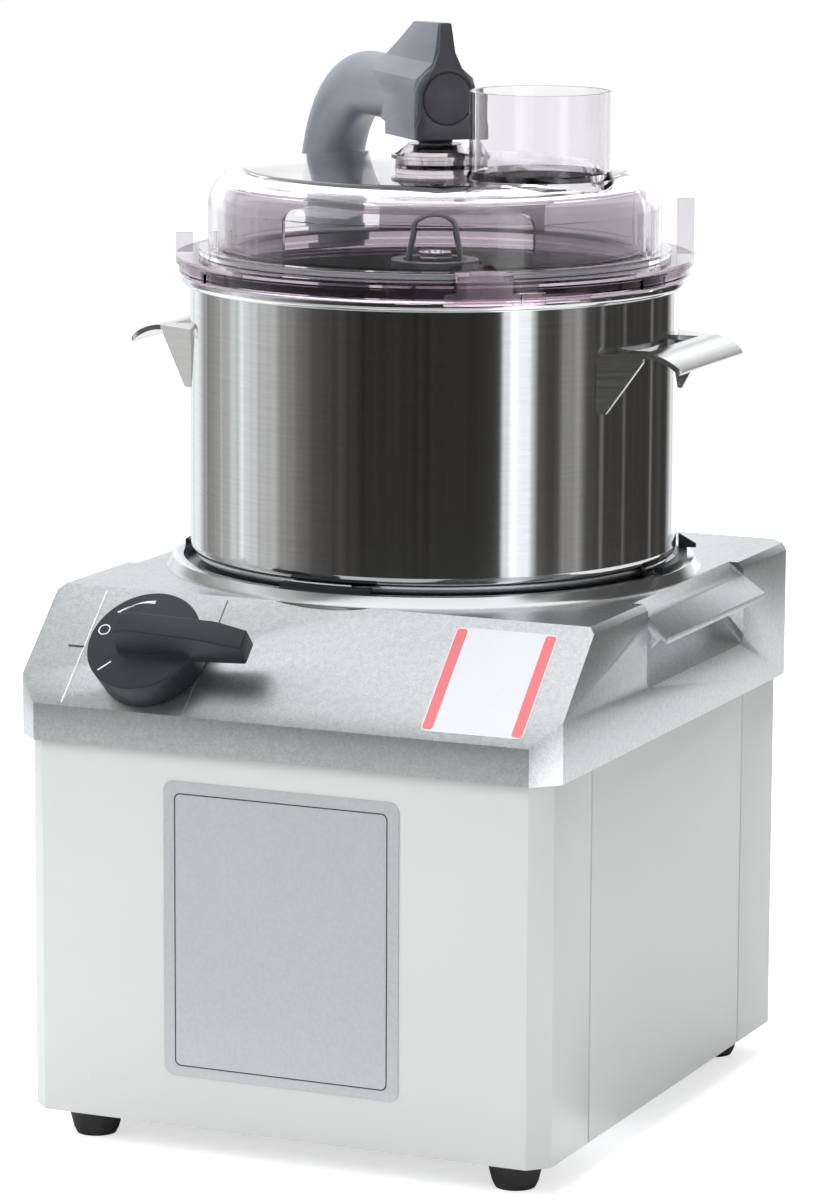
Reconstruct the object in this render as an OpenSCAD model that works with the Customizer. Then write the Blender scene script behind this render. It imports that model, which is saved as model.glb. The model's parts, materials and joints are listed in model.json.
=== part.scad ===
// Bench-top vertical cutter mixer: a cast-top cabinet with a lift-off steel bowl, a clear lid with a feed
// tube, a hand-turned scraper ring, a tall knife carrier on a vertical motor shaft and a swinging lid arm.
// Millimetres, +Z up, origin on the bench under the middle of the cabinet, front towards -Y.

/* [Cabinet] */
// Land between the bowl's seat and the cabinet's side
side_land = 2; // [1:0.5:8]
// Land between the bowl's seat and the casting's back edge
rear_land = 5; // [3:0.5:16]
// Height of the cabinet's walls
box_h = 157; // [150:1:200]
// Thickness of the cabinet's walls
box_wall = 3; // [2:0.5:4]
// Leg of the chamfer on each upright corner
box_corner = 7.7; // [5:0.1:12]
// Thickness of the bottom plate
bottom_t = 2; // [1.5:0.5:3]
// Depth of the fine upright grooves in the side walls
groove_t = 0.6; // [0.4:0.1:1]
// Distance of each groove from the cabinet's front or back face
groove_in = 46; // [38:1:60]

/* [Feet] */
// Height of a rubber foot
foot_h = 13; // [10:0.5:18]
// Radius of a foot at its top
foot_r = 12; // [10:0.5:14]
// Radius of a foot on the bench
foot_tip_r = 9.2; // [8:0.2:10]
// Distance of a foot's centre from the cabinet's outer faces
foot_in = 20.5; // [18:0.5:26]
// Radius of a foot's screw
foot_screw_r = 2.4; // [2:0.1:3]

/* [Top casting] */
// How far the casting stands proud of the cabinet on each side
cast_over = 4; // [3:0.5:6]
// Thickness of the casting's side walls
cast_wall = 6; // [5.5:0.5:8]
// Thickness of the deck and of the sloping panel
deck_t = 5; // [4:0.5:7]
// How far the skirt laps down over the cabinet
cast_lap = 4; // [3:0.5:8]
// Height of the upright front face
front_h = 15; // [12:1:20]
// Depth of the sloping control panel, front to back
panel_run = 43; // [38:1:46]
// Rise of the sloping control panel
panel_rise = 41; // [38:1:46]
// Leg of the casting's corner chamfer
cast_corner = 10; // [7:0.5:12]
// Bevel along the deck's long edges
deck_bevel = 2.5; // [1.5:0.5:4]

/* [Side grips] */
// Half length of a grip's outer edge
grip_half = 56; // [46:1:58]
// How far a grip's lip stands out from the side wall
grip_out = 9; // [6:0.5:12]
// Drop from the deck to the grip's lip
grip_drop = 14; // [11:0.5:15]
// Thickness of the grip's plate
grip_t = 3.4; // [3:0.2:4]
// Height of the finger pocket's mouth
pocket_h = 20; // [16:1:22]
// Depth of the finger pocket
pocket_t = 17; // [14:1:22]

/* [Bowl] */
// Outer radius of the bowl
bowl_r = 100.5; // [96:0.5:110]
// Height of the bowl, floor to rim
bowl_h = 119; // [110:1:150]
// Thickness of the bowl's sheet
bowl_wall = 1.2; // [1:0.1:2]
// Radius of the rolled bead round the rim
bead_r = 2.4; // [2:0.1:3]
// Radius between the bowl's floor and wall
bowl_corner_r = 8; // [5:0.5:12]
// Inner radius of the bowl's centre tube
tube_r = 14.5; // [14:0.5:16]
// Gap between the deck and the bowl's floor
bowl_lift = 2.5; // [2:0.1:3]

/* [Bowl seat] */
// Radial gap between the bowl and the raised seat ring
seat_gap = 3; // [2.6:0.1:4]
// Width of the raised seat ring at its foot
seat_w = 7.5; // [6:0.5:9]
// Height of the raised seat ring
seat_h = 4.3; // [4.1:0.1:6]
// Angle that one bayonet hook spans
hook_angle = 22; // [18:1:28]

/* [Bowl handles] */
// Drop of a handle's plate below the rim
handle_drop = 24.2; // [20:0.5:40]
// Thickness of the handle's sheet
handle_t = 2; // [1.5:0.5:2.5]
// Reach of the flat plate beyond the bowl's wall
handle_reach = 7.5; // [6.5:0.5:14]
// Outer radius of the turned-down lip
lip_r = 20; // [14:1:24]
// Half width of a handle at the bowl
handle_half = 45; // [40:1:50]
// Half width of a handle at its lip
lip_half = 36; // [31:1:41]
// Half length of the gap between plate and bowl
slot_half = 27; // [20:1:29]
// Height of a gusset against the bowl
gusset_h = 22; // [14:1:30]

/* [Lid] */
// How far the dome stands inside the bowl's wall
dome_in_set = 7.5; // [7:0.5:12]
// Height of the dome above its foot
dome_h = 35; // [32:0.5:45]
// Radius of the dome's shoulder
shoulder_r = 15; // [12:0.5:18]
// Thickness of the lid's clear plastic
lid_t = 3.6; // [3:0.2:4]
// Distance from the bowl's axis to the feed tube's near side
feed_start = 29.3; // [28.9:0.1:40]
// Wall of the feed tube
feed_wall = 2.8; // [2:0.1:3.4]
// Height of the feed tube above the dome
feed_h = 34.6; // [30:0.2:60]
// Distance from the feed tube to the dome's side
feed_in_set = 6.3; // [6:0.1:10]
// Direction of the feed tube, seen from above
feed_angle = -19.7; // [-30:0.1:-10]
// Radius of the centre boss
boss_r = 18; // [16:0.5:20]

/* [Scraper] */
// How far the turning ring's flange stands out past the bowl's wall
flange_out = 5.8; // [5:0.1:7]
// Thickness of the turning ring's flange
flange_t = 3; // [2.5:0.5:4]
// Height of the ring's body between bowl rim and flange
ring_h = 4; // [3:0.5:5]
// Height of the finger tab on the right
tab_h = 23; // [14:1:26]
// Thickness of the scraper skirt and arms
scraper_t = 3; // [2:0.5:4]
// Number of scraper arms
arm_count = 3; // [2:1:4]
// Angle that one scraper panel spans
panel_angle = 50; // [30:1:56]

/* [Knife carrier] */
// Radius of the drive shaft
shaft_r = 8; // [6:0.5:9]
// Radius of the knife carrier's sleeve
hub_r = 19.5; // [19:0.5:22]
// Gap between the knives' tips and the bowl's wall
knife_gap_r = 13.5; // [13:0.5:24]
// Thickness of a knife
knife_t = 2; // [1.5:0.5:3]
// Height between the lower and the upper knife
knife_step = 30; // [15:1:45]
// Radius of the black cap
cap_r = 18; // [16:0.5:19]
// Height of the wire bail above the cap
bail_h = 20; // [16:1:22]
// Radius of the bail's wire
bail_wire_r = 1.3; // [1:0.1:1.6]

/* [Lid arm] */
// Direction from the bowl's axis to the arm's post, seen from above
post_angle = 134.7; // [134:0.1:136]
// Gap between the post's bush and the bowl's seat
post_gap = 1; // [1:0.1:1.5]
// Radius of the post and of the arm's tube
arm_r = 13.4; // [11:0.1:13.6]
// Radius of the arm's elbow on its centre line
elbow_r = 53; // [40:1:60]
// Height of the tube's centre line above the lid's boss
arm_rise = 19; // [18:0.5:26]
// How far the arm's head reaches past the bowl's axis
head_past = 14; // [12:0.5:14]
// Height of the thumb fin above the tube's centre line
fin_h = 30.5; // [24:0.5:36]

/* [Knob] */
// Radius of the dial's face
dial_r = 23.6; // [20:0.2:25]
// Height of the dial
dial_h = 14; // [10:0.5:16]
// Distance of the knob to the left of the panel's middle
knob_left = 62; // [50:1:70]
// Distance of the knob up the panel from its lower edge
knob_up = 25; // [22:1:32]
// Reach of the lever from the dial's centre
lever_reach = 46; // [30:1:50]

/* [Motor] */
// Radius of the motor
motor_r = 62; // [50:1:70]
// Length of the stator pack
stator_h = 90; // [70:1:100]
// Height of an end bell
bell_h = 22; // [18:1:30]
// Radius of the rotor core
rotor_r = 33; // [26:1:40]
// Radius of the ball bearings
bearing_r = 17.5; // [15:0.5:20]
// Height of a ball bearing
bearing_h = 12; // [9:0.5:14]

/* [Hidden] */
$fn = 64;

// Clearances
over = 1;
fit_gap = 0.05;
rest_gap = 0.3;
seat_clear = 0.4;
boss_cone_h = 5.9;
panel_bite = 2;

// Sizes in plan that follow from the bowl
seat_in = bowl_r + seat_gap;
seat_out = seat_in + seat_w;
box_w = 2 * (seat_out + side_land);
cast_w = box_w + 2 * cast_over;
cast_d = panel_run - panel_bite + 2 * seat_out + rear_land;
box_d = cast_d - 2 * cast_over;
bowl_y = cast_d / 2 - rear_land - seat_out;
bowl_in = bowl_r - bowl_wall;
dome_r = bowl_r - dome_in_set;
feed_r = (dome_r - feed_in_set - feed_start) / 2;
feed_reach = feed_start + feed_r;
flange_r = bowl_r + flange_out;
knife_reach = bowl_r - knife_gap_r;

// Heights that follow from the sizes above
box_z = foot_h;
box_top = box_z + box_h;
skirt_z = box_top - cast_lap;
front_z = skirt_z + front_h;
deck_z = front_z + panel_rise;
deck_under = deck_z - deck_t;
panel_slope = atan2(panel_rise, panel_run);
middle_y = max(0, (dial_h * sin(panel_slope) - (knob_up - dial_r) * cos(panel_slope)) / 2);
panel_y = middle_y - cast_d / 2;
panel_len = norm([panel_run, panel_rise]);
seat_top = deck_z + seat_h;
bowl_z = deck_z + bowl_lift;
rim_z = bowl_z + bowl_h;
ring_z = rim_z + rest_gap;
flange_z = ring_z + ring_h;
flange_top = flange_z + flange_t;
foot_z = flange_top + rest_gap;
dome_top = foot_z + dome_h;
dome_in = dome_r - lid_t;
boss_neck_h = lid_t * 1.1;
boss_top = dome_top + boss_neck_h + boss_cone_h;
arm_z = boss_top + arm_rise;

// Small sizes of the cabinet and its feet
groove_w = 1.6;
inner_corner = box_corner - box_wall * (2 - sqrt(2));
foot_screw_head_r = 4.4;
foot_screw_head_h = 3;
foot_recess_h = 6;
foot_screw_len = foot_h - foot_recess_h + bottom_t + 3 * foot_screw_r;
vent_w = 4;
vent_len = 60;
vent_pitch = 12;
vent_count = 7;
gland_r = 9;
gland_bore_r = 4;
gland_flange_t = 3;
gland_nut_t = 5;
gland_x = 60;
gland_up = 30;

// Small sizes of the casting
boss_wall = 4;
rod_r = 3;
rod_head_r = 5;
rod_head_h = 3;
rod_in_x = 10;
rod_in_y = 45;
rod_boss_r = rod_r + boss_wall;
rod_boss_h = 40;
rod_bite = 20;
spigot_r = tube_r - 1.5;
spigot_h = 15;
spigot_bore = shaft_r + 1.6;
seal_h = 5;
seal_r = spigot_bore + 1.6;
seal_ring_r = 98;
seal_ring_w = 8;
grip_splay = 2.5;
grip_root_half = grip_half - grip_splay;
grip_in = 6.6;
grip_fall = (grip_drop - grip_t / 2) / (grip_out + grip_in);
pocket_corner = 4;
web_t = 5;
pocket_half = grip_half - 1;
pocket_floor_rise = pocket_t * 1.4;
pocket_end_taper = 7;
panel_hole_r = 5;

// Small sizes of the bayonet
hook_in = bowl_r + 0.8;
hook_out = seat_in + 1.6;
hook_h = 2.2;
hook_turns = [-102, -4, 80, 172];
hook_extra = [0, 8, 0, 0];
stop_turn = hook_turns[1] + hook_angle + hook_extra[1] - 1;
stop_t = 1.6;
stop_h = 8;
stop_out = seat_out - 2;
lug_angle = hook_angle - 6;
lug_out = seat_in - seat_clear;
lug_h = seat_h - bowl_lift - rest_gap;

// Small sizes of the bowl's handles
lip_angle = 48;
lip_corner = 6;
lip_corner_lap = 1.2;
gusset_foot = 3.5;
gusset_tip = 1.5;
handle_z = rim_z - handle_drop;
handle_flat = bowl_r + handle_reach;
handle_root = sqrt(bowl_r * bowl_r - handle_half * handle_half);
handle_splay = atan2(handle_half - lip_half, handle_flat - handle_root);
gusset_in = handle_t / cos(handle_splay);
lip_tip = handle_flat + lip_r * sin(lip_angle);
lip_corner_x = lip_tip - lip_corner + lip_corner_lap;
weld_gap = 0.05;

// Small sizes of the lid
foot_w = 4;
foot_t = 2.6;
flare_w = 1.3;
flare_h = 2.5;
boss_hole_r = 12;
boss_neck_r = boss_r - 1.7;
boss_rim_h = 1.5;
boss_cone_r = 11;
boss_lock_r = 17;
boss_lock_h = 2.5;
catch_from_angle = -64.3;
catch_to_angle = -47.2;
catch_taper_angle = 2.5;
catch_lap_angle = 1;
catch_t = 1.6;
catch_drop = 9;
catch_step = 0.3;
catch_pad_h = 1.6;
bar_to_angle = -31.5;
block_to_angle = -42.9;
lid_seal_w = 2.6;

// Small sizes of the scraper
ring_body_r = flange_r - 1.3;
skirt_r = dome_in - 3.2;
skirt_top = dome_top - lid_t - 4.4;
window_band = 3;
window_sill = 1;
skirt_gap = 0.8;
arm_r_out = bowl_in - skirt_gap;
first_arm = -15;
arm_foot_gap = 0.6;
arm_wide = 9;
arm_stem_t = 4;
tab_w = 7;
tab_t = 3;
left_tab_h = 8;
tab_angle = 24;
lug_ring_angle = 8;

// Small sizes of the knife carrier
carrier_gap = 1;
sleeve_in = tube_r + bowl_wall + carrier_gap;
carrier_foot = 3;
carrier_top_gap = 4;
tube_drop = 9.5;
tube_top = rim_z - tube_drop;
carrier_z = bowl_z + bowl_wall + carrier_foot;
carrier_top = rim_z - 2;
carrier_web = 5;
collar_r = hub_r + 3.5;
collar_h = 9;
knife_gap = 2;
knife_z = carrier_z + collar_h;
blade_root = 13;
blade_width = 25;
blade_curve = 46;
stub_r = 5;
knife_turn = 35;
knife_cross_angle = 90;
cap_neck_r = 15.5;
cap_neck_h = 3.5;
cap_rim_h = 3.5;
cap_dish = 2;
cap_dish_r = 13.2;
nut_r = 7.5;
nut_h = 5;
bail_foot = 11.2;
bail_bow = 8.6;
bail_angle = 20;
cap_z = carrier_top;
cap_top = cap_z + cap_neck_h + cap_rim_h;
stub_top = cap_top - cap_dish + nut_h * 0.8;

// Small sizes of the arm
bush_r = 11;
bush_flange_r = arm_r + 1.1;
arm_reach = seat_out + bush_flange_r + post_gap;
post_x = arm_reach * cos(post_angle);
post_y = middle_y + bowl_y + arm_reach * sin(post_angle);
arm_dir = post_angle - 180;
bush_flange_t = 3;
bush_len = 38;
spindle_r = 8;
spindle_end = 7;
clip_r = 12;
clip_t = 2;
head_len = 34;
head_drop = arm_rise - 2.4;
head_half = arm_r;
head_neck = 5;
fin_tip_t = 2.3;
fin_root_t = 5;
fin_top_len = 30;
fin_slope_len = 30;
cap_disc_r = 10.3;
cap_waist = 11.8;
cap_waist_h = 10;
cap_disc_t = 1.4;
end_cap_t = 3;
pad_r = 7;
switch_w = 20;
switch_l = 28;
switch_h = 16;
switch_boss_gap = 2;

// Small sizes of the knob
dial_foot_r = dial_r - 1.2;
switch_shaft_r = 3;
shaft_in_knob = 10;
shaft_in_switch = 12;
lever_back = 9;
lever_half = 7;
lever_tip_half = 4.6;
lever_top_half = 4.6;
lever_h = 12.5;
lever_tip_drop = 6;
lever_under = 3.5;
switch_half = 18;
switch_len = 34;
switch_nut_t = 3;
switch_nut_r = 8;

// Small sizes of the motor
bell_wall = 4;
coil_clear = 2;
bolt_r = 2.5;
bolt_head_r = 4.5;
bolt_head_h = 3.5;
bolt_in = 5;
bolt_bite = deck_t - 1.5;
winding_w = motor_r - bell_wall - 2 * bolt_in - rotor_r - coil_clear - over;
winding_h = 14;
air_gap = 0.6;
bell_floor = 5;
motor_top = deck_under;
stator_top = motor_top - bell_h;
stator_z = stator_top - stator_h;
lower_z = stator_z - bell_h;
fan_r = 40;
fan_t = 3;
fan_blade_h = 8;
fan_blades = 9;
fan_gap = 3;
cap_can_r = 17;
cap_can_len = 78;
cap_can_side = 31;
cap_can_front = 56;
cap_can_x = cap_can_side - box_w / 2;
cap_can_y = cap_can_front - box_d / 2;
control_w = 66;
control_d = 34;
control_h = 74;
control_side = 51;
control_front = 44;
control_x = box_w / 2 - control_side;
control_y = control_front - box_d / 2;

// Shared shapes

module chamfered_plan(w, d, c)
    polygon([[w / 2 - c, -d / 2], [w / 2, -d / 2 + c], [w / 2, d / 2 - c], [w / 2 - c, d / 2],
             [-w / 2 + c, d / 2], [-w / 2, d / 2 - c], [-w / 2, -d / 2 + c], [-w / 2 + c, -d / 2]]);

module ring(outer, inner, h)
    difference() {
        cylinder(r = outer, h = h);
        translate([0, 0, -over]) cylinder(r = inner, h = h + 2 * over);
    }

// A curved wall between two radii, from one angle through another
module arc_wall(inner, outer, h, from, span)
    rotate([0, 0, from])
        rotate_extrude(angle = span)
            translate([inner, 0]) square([outer - inner, h]);

// Half section of a cup turned upside down, with a round shoulder
module dome_section(r, h, shoulder) {
    square([r, h - shoulder]);
    square([r - shoulder, h]);
    translate([r - shoulder, h - shoulder])
        intersection() {
            circle(r = shoulder);
            square(shoulder);
        }
}

// The cabinet stands a little behind the origin, so that the knob's reach in front is evened out
module at_cabinet(z = 0) translate([0, middle_y, z]) children();

module at_bowl(z = 0) translate([0, middle_y + bowl_y, z]) children();

module on_panel(x, s) translate([0, panel_y, front_z]) rotate([panel_slope, 0, 0]) translate([x, s, 0]) children();

// The arm's own frame: origin at the post, +X towards the bowl's axis
module at_post() translate([post_x, post_y, 0]) rotate([0, 0, arm_dir]) children();

module at_feet()
    for (sx = [-1, 1], sy = [-1, 1])
        translate([sx * (box_w / 2 - foot_in), middle_y + sy * (box_d / 2 - foot_in), 0]) children();

module at_rods()
    for (sx = [-1, 1], sy = [-1, 1])
        translate([sx * (box_w / 2 - rod_in_x), middle_y + sy * (box_d / 2 - rod_in_y), 0]) children();

// Profile in the YZ plane extruded across the machine
module across(w)
    rotate([90, 0, 90]) translate([0, 0, -w / 2]) linear_extrude(w) children();

// Profile in the XZ plane extruded front to back
module along(d)
    rotate([90, 0, 0]) translate([0, 0, -d / 2]) linear_extrude(d) children();

// Cabinet

module cabinet() color("gainsboro")
    at_cabinet(box_z)
        difference() {
            linear_extrude(box_h) chamfered_plan(box_w, box_d, box_corner);
            translate([0, 0, -over])
                linear_extrude(box_h + 2 * over)
                    chamfered_plan(box_w - 2 * box_wall, box_d - 2 * box_wall, inner_corner);
            for (sx = [-1, 1], sy = [-1, 1])
                translate([sx * box_w / 2, sy * (box_d / 2 - groove_in), box_h / 2])
                    cube([2 * groove_t, groove_w, box_h + 2 * over], center = true);
            translate([gland_x, box_d / 2 + over, gland_up])
                rotate([90, 0, 0]) cylinder(r = gland_r - box_wall, h = box_wall + 2 * over);
        }

module bottom_plate() color("silver")
    difference() {
        at_cabinet(box_z)
            linear_extrude(bottom_t)
                chamfered_plan(box_w - 2 * box_wall - 2 * fit_gap, box_d - 2 * box_wall - 2 * fit_gap,
                               inner_corner);
        at_feet() translate([0, 0, box_z - over]) cylinder(r = foot_screw_r + fit_gap, h = bottom_t + 2 * over);
        at_rods() translate([0, 0, box_z - over]) cylinder(r = rod_r + fit_gap, h = bottom_t + 2 * over);
        for (i = [0 : vent_count - 1])
            at_cabinet(box_z + bottom_t / 2)
                translate([0, (i - (vent_count - 1) / 2) * vent_pitch, 0])
                    cube([vent_len, vent_w, bottom_t + 2 * over], center = true);
    }

module feet() color("dimgray")
    at_feet()
        difference() {
            union() {
                translate([0, 0, foot_screw_r]) cylinder(r1 = foot_tip_r, r2 = foot_r, h = foot_h - foot_screw_r);
                cylinder(r1 = foot_tip_r - foot_screw_r / 2, r2 = foot_tip_r, h = foot_screw_r);
            }
            translate([0, 0, -over]) cylinder(r = foot_screw_r + fit_gap, h = foot_h + 2 * over);
            translate([0, 0, -over]) cylinder(r = foot_screw_head_r + rest_gap, h = foot_recess_h + over);
        }

module foot_screws() color("darkgray")
    at_feet()
        translate([0, 0, foot_recess_h]) {
            translate([0, 0, -foot_screw_head_h])
                difference() {
                    cylinder(r = foot_screw_head_r, h = foot_screw_head_h);
                    translate([0, 0, -over]) cylinder(r = foot_screw_r, h = over + foot_screw_head_h / 2, $fn = 6);
                }
            cylinder(r = foot_screw_r, h = foot_screw_len);
        }

module cable_gland() color("dimgray")
    at_cabinet(box_z + gland_up) translate([gland_x, box_d / 2, 0])
        rotate([90, 0, 0])
            difference() {
                union() {
                    translate([0, 0, -gland_flange_t]) cylinder(r = gland_r, h = gland_flange_t);
                    cylinder(r = gland_r - box_wall - fit_gap, h = box_wall + gland_nut_t);
                    translate([0, 0, box_wall]) cylinder(r = gland_r, h = gland_nut_t, $fn = 6);
                }
                translate([0, 0, -gland_flange_t - over])
                    cylinder(r = gland_bore_r, h = gland_flange_t + box_wall + gland_nut_t + 2 * over);
            }

// Top casting

function wall_drop() = deck_t / cos(panel_slope);

// Side profile of the casting, front to the left
module cast_profile()
    polygon([[-cast_d / 2, skirt_z], [cast_d / 2, skirt_z], [cast_d / 2, deck_z],
             [-cast_d / 2 + panel_run, deck_z], [-cast_d / 2, front_z]]);

module cast_outer()
    at_cabinet() intersection() {
        across(cast_w) cast_profile();
        translate([0, 0, skirt_z]) linear_extrude(deck_z - skirt_z) chamfered_plan(cast_w, cast_d, cast_corner);
        along(cast_d)
            polygon([[-cast_w / 2, skirt_z], [cast_w / 2, skirt_z], [cast_w / 2, deck_z - deck_bevel],
                     [cast_w / 2 - deck_bevel, deck_z], [-cast_w / 2 + deck_bevel, deck_z],
                     [-cast_w / 2, deck_z - deck_bevel]]);
    }

// Hollow of the casting above the cabinet's edge, with the panel's and the deck's thickness left on
module cast_hollow()
    at_cabinet() intersection() {
        across(cast_w)
            polygon([[-cast_d / 2 + cast_wall, box_top], [cast_d / 2 - cast_wall, box_top],
                     [cast_d / 2 - cast_wall, deck_under],
                     [-cast_d / 2 + (deck_under + wall_drop() - front_z) / tan(panel_slope), deck_under],
                     [-cast_d / 2 + cast_wall, front_z + cast_wall * tan(panel_slope) - wall_drop()]]);
        translate([0, 0, box_top - over])
            linear_extrude(deck_under - box_top + over)
                chamfered_plan(cast_w - 2 * cast_wall, cast_d - 2 * cast_wall, cast_corner);
    }

// Finger pocket in the right-hand wall: a mouth with a rising floor
module pocket_profile(grow = 0)
    polygon([[cast_w / 2 + over, deck_z - grip_drop - pocket_h - grow],
             [cast_w / 2, deck_z - grip_drop - pocket_h - grow],
             [cast_w / 2 - pocket_t - grow, deck_z - grip_drop - pocket_h + pocket_floor_rise - grow],
             [cast_w / 2 - pocket_t - grow, deck_z - deck_t - deck_bevel + grow],
             [cast_w / 2 - 2 * grip_t, deck_z - deck_t - deck_bevel + grow],
             [cast_w / 2, deck_z - grip_drop + grip_t + grow], [cast_w / 2 + over, deck_z - grip_drop + grow]]);

// Outline of the mouth, with round lower corners
module mouth(grow = 0) {
    translate([-pocket_half - grow, pocket_corner - grow]) square([2 * (pocket_half + grow), 2 * pocket_h]);
    translate([pocket_corner - pocket_half - grow, -grow]) square([2 * (pocket_half + grow - pocket_corner), pocket_h]);
    for (sy = [-1, 1])
        translate([sy * (pocket_half + grow - pocket_corner), pocket_corner - grow]) circle(r = pocket_corner);
}

// The pocket's room, with ends that draw in behind the mouth
module pocket(grow = 0)
    intersection() {
        along(2 * (pocket_half + grow)) pocket_profile(grow);
        linear_extrude(deck_z)
            polygon([[cast_w / 2 + 2 * over, -pocket_half - grow], [cast_w / 2 + 2 * over, pocket_half + grow],
                     [cast_w / 2, pocket_half + grow], [cast_w / 2 - pocket_t - grow, pocket_half - pocket_end_taper + grow],
                     [cast_w / 2 - pocket_t - grow, pocket_end_taper - pocket_half - grow],
                     [cast_w / 2, -pocket_half - grow]]);
        translate([cast_w / 2, 0, deck_z - grip_drop - pocket_h]) across(4 * pocket_t) mouth(grow);
    }

// Plan of the grip's hood, wider towards its lip
module grip_plan(grow = 0)
    polygon([[0, -grip_root_half - grow], [cast_w / 2 - deck_bevel, -grip_root_half - grow],
             [cast_w / 2 + grip_out + grow, -grip_half - grow], [cast_w / 2 + grip_out + grow, grip_half + grow],
             [cast_w / 2 - deck_bevel, grip_root_half + grow], [0, grip_root_half + grow]]);

// The hood's block, before its slope is cut
module grip_hood()
    intersection() {
        along(2 * grip_half)
            polygon([[cast_w / 2 - grip_in - grip_t, deck_z - deck_t], [cast_w / 2 - grip_in - grip_t, deck_z - over],
                     [cast_w / 2 + grip_out, deck_z - over], [cast_w / 2 + grip_out, deck_z - grip_drop - grip_t / 4],
                     [cast_w / 2, deck_z - grip_drop + grip_t]]);
        translate([0, 0, skirt_z]) linear_extrude(deck_z) grip_plan();
    }

// Slope from the deck down to the lip, cut through the deck's edge and the hood alike
module grip_slope()
    intersection() {
        along(4 * grip_half)
            polygon([[cast_w / 2 - grip_in, deck_z], [cast_w / 2 - grip_in, deck_z + over],
                     [cast_w / 2 + 2 * grip_out, deck_z + over],
                     [cast_w / 2 + 2 * grip_out, deck_z - grip_fall * (2 * grip_out + grip_in)]]);
        linear_extrude(2 * deck_z) grip_plan(rest_gap);
    }

// Web that closes each end of the hood against the wall
module grip_webs()
    for (sy = [-1, 1])
        translate([0, sy * (grip_root_half - web_t / 2), 0])
            along(web_t)
                polygon([[cast_w / 2 - web_t, deck_z - deck_t], [cast_w / 2, deck_z - deck_bevel],
                         [cast_w / 2 + grip_out * 0.7, deck_z - grip_drop + grip_t],
                         [cast_w / 2, deck_z - grip_drop - web_t], [cast_w / 2 - web_t, deck_z - grip_drop]]);

module both_sides() {
    children();
    mirror([1, 0, 0]) children();
}

module top_casting() color("lightsteelblue")
    difference() {
        union() {
            difference() {
                cast_outer();
                difference() {
                    cast_hollow();
                    both_sides()
                        at_bowl() pocket(boss_wall);
                    at_rods() translate([0, 0, deck_z - rod_boss_h]) cylinder(r = rod_boss_r, h = rod_boss_h);
                    translate([post_x, post_y, deck_z - bush_len])
                        cylinder(r = bush_r + boss_wall, h = bush_len);
                }
                at_cabinet(skirt_z - over)
                    linear_extrude(cast_lap + over)
                        chamfered_plan(box_w + 2 * seat_clear, box_d + 2 * seat_clear, box_corner);
            }
            both_sides() at_bowl() {
                grip_hood();
                grip_webs();
            }
            at_bowl()
                rotate_extrude()
                    polygon([[seat_in, deck_z - over], [seat_in + seat_w, deck_z - over],
                             [seat_in + seat_w, deck_z], [seat_in + seat_w * 0.8, deck_z + seat_h * 0.35],
                             [seat_in + seat_w * 0.6, seat_top], [seat_in, seat_top]]);
            at_bowl(deck_under) cylinder(r = spigot_r, h = deck_t + spigot_h);
        }
        both_sides() at_bowl() grip_slope();
        both_sides() at_bowl() pocket();
        at_bowl(deck_under - over) cylinder(r = spigot_bore, h = deck_t + spigot_h + 2 * over);
        at_bowl(deck_z + spigot_h - seal_h) cylinder(r = seal_r + fit_gap, h = seal_h + over);
        translate([post_x, post_y, deck_z - bush_len - over])
            cylinder(r = bush_r + fit_gap, h = bush_len + 2 * over);
        at_rods() translate([0, 0, deck_z - rod_boss_h - over]) cylinder(r = rod_r + fit_gap, h = rod_bite + over);
        on_panel(-knob_left, knob_up)
            translate([0, 0, -2 * deck_t]) cylinder(r = panel_hole_r, h = 2 * deck_t + over);
        at_bowl() at_motor_bolts() translate([0, 0, deck_under - over]) cylinder(r = bolt_r + fit_gap, h = bolt_bite + over);
    }

module tie_rods() color("darkgray")
    at_rods() {
        translate([0, 0, box_z - rod_head_h]) cylinder(r = rod_head_r, h = rod_head_h);
        translate([0, 0, box_z]) cylinder(r = rod_r, h = deck_z - rod_boss_h + rod_bite - over - box_z);
    }

module seat_seal() color("dimgray")
    at_bowl(deck_z) ring(bowl_r - bowl_corner_r, bowl_r - bowl_corner_r - seal_ring_w, bowl_lift - rest_gap);

module bayonet_hooks() color("dimgray")
    at_bowl(seat_top) {
        for (i = [0 : len(hook_turns) - 1])
            arc_wall(hook_in, hook_out, hook_h, hook_turns[i], hook_angle + hook_extra[i]);
        rotate([0, 0, stop_turn])
            along(stop_t)
                polygon([[hook_in + seat_clear, 0], [hook_out, 0], [hook_out, hook_h], [stop_out, hook_h],
                         [stop_out, hook_h + stop_t], [hook_in + 2 * seat_clear, stop_h],
                         [hook_in + seat_clear, stop_h]]);
    }

module shaft_seal() color("dimgray")
    at_bowl(deck_z + spigot_h - seal_h) ring(seal_r, shaft_r + fit_gap, seal_h);

// Motor and what the cabinet holds

module at_motor_bolts()
    for (a = [45 : 90 : 315])
        rotate([0, 0, a]) translate([motor_r - bolt_in, 0, 0]) children();

module motor_stator() color("slategray")
    at_bowl(stator_z)
        difference() {
            cylinder(r = motor_r, h = stator_h);
            translate([0, 0, -over]) cylinder(r = rotor_r + air_gap, h = stator_h + 2 * over);
            at_motor_bolts() translate([0, 0, -over]) cylinder(r = bolt_r + fit_gap, h = stator_h + 2 * over);
        }

module motor_windings() color("chocolate")
    at_bowl()
        for (z = [stator_z - winding_h, stator_top])
            translate([0, 0, z])
                ring(rotor_r + coil_clear + winding_w, rotor_r + coil_clear, winding_h);

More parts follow.
